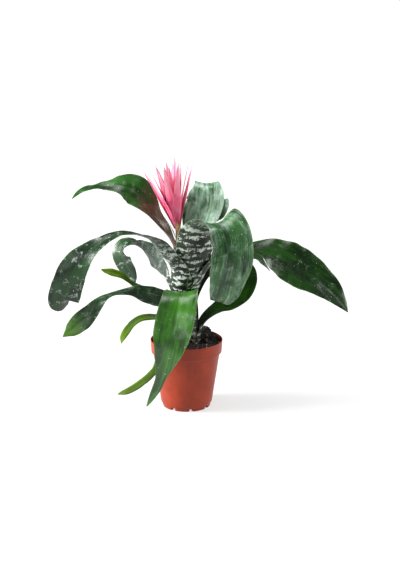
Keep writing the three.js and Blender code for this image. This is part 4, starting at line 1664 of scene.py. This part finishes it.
@dataclass(frozen=True)
class LooseBits:
    """Loose crumbs on the mix: how thickly they lie, and how they are turned and roughened.

    Lengths are in metres and turns in radians. The smallest is a share of the full size.
    """

    name: str
    density: float
    smallest: float
    turn_low: tuple[float, float, float]
    turn_high: tuple[float, float, float]
    lump_scale: float
    lump_push: float

    def bit(self, tree: GeometryTree) -> bpy.types.NodeSocket:
        """A single crumb."""
        ball = tree.node("GeometryNodeMeshIcoSphere", None, {"Radius": 0.0021, "Subdivisions": 1})
        return ball.outputs[0]

    def scatter(self, body: bpy.types.Object, material: bpy.types.Material) -> bpy.types.Object:
        """Scatters the bits over the top of the mix.

        Args:
            body: The mix.
            material: Material of the bits.

        Returns:
            The scattered piece.
        """
        tree = GeometryTree(self.name, {"Density": self.density, "Smallest": self.smallest, "Largest": 1.0})
        normal = tree.node("GeometryNodeInputNormal")
        up = tree.node("ShaderNodeSeparateXYZ", None, {0: normal.outputs[0]})
        position = tree.node("GeometryNodeInputPosition")
        place = tree.node("ShaderNodeSeparateXYZ", None, {0: position.outputs[0]})
        above = {"operation": "GREATER_THAN"}
        high = tree.node("FunctionNodeCompare", above, {0: place.outputs[2], 1: 0.1})
        level = tree.node("FunctionNodeCompare", above, {0: up.outputs[2], 1: 0.4})
        both = tree.node(
            "FunctionNodeBooleanMath", {"operation": "AND"}, {0: high.outputs[0], 1: level.outputs[0]}
        )
        spread = tree.node(
            "GeometryNodeDistributePointsOnFaces", {"distribute_method": "RANDOM"},
            {
                "Mesh": tree.entry.outputs[0], "Selection": both.outputs[0],
                "Density": tree.size("Density"), "Seed": 11,
            },
        )
        bit = self.bit(tree)
        turn = tree.node(
            "FunctionNodeRandomValue", {"data_type": "FLOAT_VECTOR"},
            {0: self.turn_low, 1: self.turn_high, "Seed": 3},
        )
        size = tree.node(
            "FunctionNodeRandomValue", {"data_type": "FLOAT"},
            {2: tree.size("Smallest"), 3: tree.size("Largest"), "Seed": 5},
        )
        placed = tree.node(
            "GeometryNodeInstanceOnPoints", None,
            {
                "Points": spread.outputs[0], "Instance": bit,
                "Rotation": turn.outputs[0], "Scale": size.outputs[1],
            },
        )
        tone = tree.node("FunctionNodeRandomValue", {"data_type": "FLOAT"}, {2: 0.0, 3: 1.0, "Seed": 8})
        stored = tree.node(
            "GeometryNodeStoreNamedAttribute", {"data_type": "FLOAT", "domain": "INSTANCE"},
            {"Geometry": placed.outputs[0], "Name": BIT_TONE, "Value": tone.outputs[1]},
        )
        real = tree.node("GeometryNodeRealizeInstances", None, {0: stored.outputs[0]})
        grain = tree.node("ShaderNodeTexNoise", None, {"Scale": self.lump_scale, "Detail": 1.0})
        centred = tree.node(
            "ShaderNodeVectorMath", {"operation": "SUBTRACT"}, {0: grain.outputs["Color"], 1: (0.5, 0.5, 0.5)}
        )
        push = tree.node(
            "ShaderNodeVectorMath", {"operation": "SCALE"}, {0: centred.outputs[0], "Scale": self.lump_push}
        )
        moved = tree.node(
            "GeometryNodeSetPosition", None, {"Geometry": real.outputs[0], "Offset": push.outputs[0]}
        )
        tree.close(moved.outputs[0], material)
        return tree.grow(self.name, body.data.copy())


@dataclass(frozen=True)
class Fibres(LooseBits):
    """Loose fibres on the mix, scattered as its crumbs are."""

    def bit(self, tree: GeometryTree) -> bpy.types.NodeSocket:
        """A single fibre: a thin bent rod.

        Args:
            tree: The tree that it is made in.

        Returns:
            The rod's geometry.
        """
        arc = tree.node(
            "GeometryNodeCurveQuadraticBezier", None,
            {
                "Resolution": 7, "Start": (-0.006, 0, 0), "Middle": (0.001, 0.003, 0.0022),
                "End": (0.006, -0.001, 0.0002),
            },
        )
        section = tree.node("GeometryNodeCurvePrimitiveCircle", None, {"Resolution": 4, "Radius": 0.00022})
        rod = tree.node(
            "GeometryNodeCurveToMesh", None,
            {"Curve": arc.outputs[0], "Profile Curve": section.outputs[0], "Fill Caps": True},
        )
        return rod.outputs[0]


@dataclass
class PottingMix:
    """Peaty mix in the pot, with crumbs, bark bits and fibres on its top."""

    edge_level: float = 111.5
    centre_level: float = 110.0
    mound: tuple[float, float, float, float] = (26, 38, 15, 12)
    wall: tuple[tuple[float, float], ...] = ((37.4, 5.4), (40.6, 10.4), (53.7, 93.0))
    edge_radius: float = 56.2
    inner_radius: float = 0.6
    rings: int = 46
    sectors: int = 132
    crumbs: LooseBits = LooseBits(
        "mix_crumbs", 72000.0, 0.35, (0.0, 0.0, 0.0), (WHOLE_TURN, WHOLE_TURN, WHOLE_TURN), 420.0, 0.0042
    )
    fibres: LooseBits = Fibres(
        "mix_fibres", 8200.0, 0.5, (-0.35, -0.35, 0.0), (0.35, 0.35, WHOLE_TURN), 160.0, 0.006
    )

    def height(self, x: np.ndarray, y: np.ndarray) -> np.ndarray:
        """Height of the mix at a place, before its fine lumps."""
        share = np.minimum(1, np.hypot(x, y) / RIM_RADIUS)
        slope = self.centre_level + (self.edge_level - self.centre_level) * share**2
        lumps = 1.1 * np.sin(x * 0.21 + 1) * np.cos(y * 0.17) + 0.7 * np.sin(x * 0.43 - y * 0.37)
        mx, my, high, spread = self.mound
        return slope + lumps + high * np.exp(-((x - mx) ** 2 + (y - my) ** 2) / (2 * spread**2))

    def build(self) -> list[bpy.types.Object]:
        """Builds and dresses the mix, its crumbs and its fibres.

        Returns:
            The finished pieces.
        """
        turn = around(self.sectors)
        points = [ring(turn, r, z) for r, z in self.wall]
        for r in np.linspace(self.edge_radius, self.inner_radius, self.rings):
            x, y = r * np.cos(turn), r * np.sin(turn)
            z = self.height(x, y)
            flat = np.stack([x, y, z], axis=1)
            rough = soft_noise(flat * 0.16) * 1.3 + soft_noise(flat * 0.42 + 7) * 0.75
            fade = ease(np.full_like(r * turn, 58 - r), 0, 4)
            points.append(np.stack([x, y, z - 0.6 + rough * fade], axis=1))
        grid, faces = tube(len(points), self.sectors)
        faces += [grid[0][::-1], grid[-1]]
        body = link("potting_mix", mesh_from("potting_mix", np.vstack(points), faces, 70))
        body.data.materials.append(MixFinish().material("potting_mix"))
        crumbs = self.crumbs.scatter(body, CrumbFinish().material(self.crumbs.name))
        fibres = self.fibres.scatter(body, FibreFinish().material(self.fibres.name))
        declare(body, "potting_mix", "soil")
        declare(crumbs, "potting_mix")
        declare(fibres, "potting_mix")
        return [body, crumbs, fibres]


@dataclass
class Pot:
    """The thin-walled nursery pot with its band, notched foot and drain holes."""

    segments: int = 176
    rim_radius: float = RIM_RADIUS
    height: float = 115.0
    band_height: float = 22.0
    body_top_radius: float = 55.6
    body_bottom_radius: float = 42.5
    foot_radius: float = 39.5
    foot_inner_radius: float = 36.5
    wall: float = 1.4
    notch_count: int = 8
    notch_turn: float = 11.0
    notch_width: float = 8.0
    notch_height: float = 4.6
    hole_radius: float = 3.5
    hole_circle: float = 26.0
    crease: float = 34.0

    def profile(self) -> np.ndarray:
        """The wall's section as radius and height, round the outside first, with eased corners."""
        band = self.height - self.band_height
        corners = [
            (0.0, 3.0, 0.0), (self.foot_inner_radius, 3.0, 0.2), (self.foot_inner_radius, 0.0, 0.25),
            (self.foot_radius, 0.0, 0.35), (self.foot_radius + 1, 6.0, 0.6),
            (self.body_bottom_radius, 7.5, 1.2),
            (self.body_top_radius, band, 0.5), (self.rim_radius - 1.4, band + 1, 0.5),
            (self.rim_radius, self.height - 0.6, 0.3), (self.rim_radius - 0.6, self.height, 0.25),
            (self.rim_radius - self.wall, self.height - 0.4, 0.3),
            (self.rim_radius - 1.4 - self.wall, band + 3, 0.8),
            (self.body_top_radius - self.wall, band + 1, 0.8),
            (self.body_bottom_radius - self.wall, 10.0, 2.0),
            (self.body_bottom_radius - self.wall - 2, 5.0, 1.0), (0.0, 5.0, 0.0),
        ]
        eased = []
        for k, (r, z, cut) in enumerate(corners):
            here = np.array([r, z])
            if cut == 0:
                eased.append(here)
                continue
            before, after = np.array(corners[k - 1][:2]) - here, np.array(corners[k + 1][:2]) - here
            reach = [min(cut, 0.45 * np.linalg.norm(way)) for way in (before, after)]
            start, end = (here + unit(way) * far for way, far in zip((before, after), reach))
            for t in (0, 0.25, 0.5, 0.75, 1):
                eased.append(start * (1 - t) ** 2 + here * 2 * t * (1 - t) + end * t**2)
        return self._with_steps(np.array(eased))

    @staticmethod
    def _with_steps(section: np.ndarray) -> np.ndarray:
        """Adds points on the long straights, so that faces stay near square."""
        rows = [section[0]]
        for a, b in zip(section[:-1], section[1:]):
            parts = max(1, int(np.linalg.norm(b - a) / 7))
            rows += [a + (b - a) * (k + 1) / parts for k in range(parts)]
        return np.array(rows)

    def build(self) -> bpy.types.Object:
        """Builds and dresses the pot.

        Returns:
            The finished piece.
        """
        section = self.profile()
        turn = around(self.segments)
        points = [ring(turn, r, z) for r, z in section[1:-1]]
        grid, faces = tube(len(points), self.segments)
        low, high = grid.size, grid.size + 1
        faces += [(low, b, a) for a, b in zip(grid[0], np.roll(grid[0], -1))]
        faces += [(high, a, b) for a, b in zip(grid[-1], np.roll(grid[-1], -1))]
        points += [np.array([[0.0, 0.0, section[0, 1]]]), np.array([[0.0, 0.0, section[-1, 1]]])]
        shell = mesh_from("pot_shell", np.vstack(points), faces, self.crease)
        piece = self._cut(shell)
        piece.data.polygons.foreach_set("use_smooth", [True] * len(piece.data.polygons))
        piece.data.set_sharp_from_angle(angle=math.radians(self.crease))
        declare(piece, "pot_plastic", "pot")
        return piece

    def _cut(self, shell: bpy.types.Mesh) -> bpy.types.Object:
        """Cuts the foot's notches and the drain holes.

        Args:
            shell: The uncut pot.

        Returns:
            The cut pot, dressed.
        """
        tree = GeometryTree("pot_cuts", {
            "Notch width": self.notch_width * MM, "Notch height": 2 * self.notch_height * MM,
            "Hole radius": self.hole_radius * MM,
        })
        size = tree.node("ShaderNodeCombineXYZ", None, {
            "X": 0.016, "Y": tree.size("Notch width"), "Z": tree.size("Notch height")})
        block = tree.node("GeometryNodeMeshCube", None, {"Size": size.outputs[0]})
        drill = tree.node("GeometryNodeMeshCylinder", None, {
            "Vertices": 20, "Radius": tree.size("Hole radius"), "Depth": 0.012})
        cut = tree.entry.outputs[0]
        for cutter, circle in ((block, self.foot_inner_radius + 7.95), (drill, self.hole_circle)):
            spots = tree.node(
                "GeometryNodeMeshCircle", None, {"Vertices": self.notch_count, "Radius": circle * MM}
            )
            around = tree.node("GeometryNodeTransform", None, {
                "Geometry": spots.outputs[0], "Rotation": (0.0, 0.0, math.radians(self.notch_turn))})
            outward = tree.node(
                "FunctionNodeAlignRotationToVector", {"axis": "X"},
                {"Vector": tree.node("GeometryNodeInputPosition").outputs[0]},
            )
            copies = tree.node("GeometryNodeInstanceOnPoints", None, {
                "Points": around.outputs[0], "Instance": cutter.outputs[0], "Rotation": outward.outputs[0]})
            solid = tree.node("GeometryNodeRealizeInstances", None, {0: copies.outputs[0]})
            cut = tree.node(
                "GeometryNodeMeshBoolean", {"operation": "DIFFERENCE", "solver": "EXACT"},
                {0: cut, 1: solid.outputs[0]},
            ).outputs[0]
        tree.close(cut, PlasticFinish().material("pot_plastic"))
        return tree.grow("nursery_pot", shell)


# ---- Studio ----


@dataclass(frozen=True)
class Softbox:
    """One rectangular light: its place and sides in metres, and its power in watts."""

    name: str
    place: tuple[float, float, float]
    wide: float
    high: float
    power: float

    def hang(self, aim: Vector) -> None:
        """Hangs the light, turned to a point.

        Args:
            aim: The point that it faces.
        """
        data = bpy.data.lights.new(self.name, "AREA")
        data.shape, data.size, data.size_y, data.energy = "RECTANGLE", self.wide, self.high, self.power
        light = bpy.data.objects.new(self.name, data)
        light.location = self.place
        light.rotation_euler = (aim - Vector(self.place)).to_track_quat("-Z", "Y").to_euler()
        bpy.context.scene.collection.objects.link(light)


@dataclass
class Studio:
    """A plain white floor, soft lights and the camera."""

    aim: tuple[float, float, float] = (0.0225, 0.0, 0.208)
    elevation: float = 16.0
    distance: float = 3.0
    lens: float = 114.8
    sensor: float = 36.0
    softboxes: tuple[Softbox, ...] = (
        Softbox("key_softbox", (-2.1, -0.2, 0.95), 0.9, 1.4, 150),
        Softbox("rim_softbox", (1.7, 0.25, 0.8), 0.7, 1.2, 30),
        Softbox("top_softbox", (-0.1, 0.2, 1.9), 1.2, 0.9, 26),
        Softbox("front_strip", (-0.6, -2.2, 1.35), 0.3, 1.0, 10),
    )

    def build(self) -> None:
        """Sets up the floor, the lights, the surround and the camera."""
        self._floor()
        self._surround()
        for softbox in self.softboxes:
            softbox.hang(Vector(self.aim))
        self._camera()

    def _floor(self) -> None:
        """Lays a white floor that takes a faint shadow."""
        mesh = bpy.data.meshes.new("floor")
        far = FLOOR_HALF
        mesh.from_pydata([(-far, -far, 0), (far, -far, 0), (far, far, 0), (-far, far, 0)], [], [(0, 1, 2, 3)])
        floor = link("floor", mesh)
        floor.location.z = -0.0002
        g = ShaderGraph("floor_white")
        mottle = g.grain(g.place(), 0.002, 2.0)
        white = g.blend(mottle, (0.28, 0.28, 0.28), (0.31, 0.31, 0.31))
        x, y, _ = g.split(g.place())
        glow = g.blend(((x * x + y * y) ** 0.5).rise(350, 2200), (0.62, 0.62, 0.62), (1.0, 1.0, 1.0))
        floor.data.materials.append(g.finish(
            Base_Color=white, Roughness=0.9, Specular_IOR_Level=0.1,
            Emission_Color=glow, Emission_Strength=1.02))

    def _surround(self) -> None:
        """Gives the studio its even pale surround."""
        world = bpy.data.worlds.new("surround")
        world.use_nodes = True
        world.node_tree.nodes["Background"].inputs["Color"].default_value = (1.0, 1.0, 1.0, 1.0)
        world.node_tree.nodes["Background"].inputs["Strength"].default_value = 0.1
        bpy.context.scene.world = world
        bpy.context.scene.view_settings.view_transform = "Standard"

    def _camera(self) -> None:
        """Places the camera in front of the plant, looking slightly down."""
        data = bpy.data.cameras.new("camera")
        data.lens, data.sensor_width = self.lens, self.sensor
        camera = bpy.data.objects.new("camera", data)
        tilt = math.radians(self.elevation)
        camera.location = Vector(self.aim) + self.distance * Vector((0, -math.cos(tilt), math.sin(tilt)))
        camera.rotation_euler = (math.radians(90 - self.elevation), 0, 0)
        bpy.context.scene.collection.objects.link(camera)
        bpy.context.scene.camera = camera


def main() -> None:
    """Builds the studio and every piece of the plant, in order."""
    logging.basicConfig(level=logging.INFO, format="%(name)s: %(message)s")
    Studio().build()
    Pot().build()
    PottingMix().build()
    Stem().build()
    Leaves().build()
    FlowerHead().build()


if __name__ == "__main__":
    main()
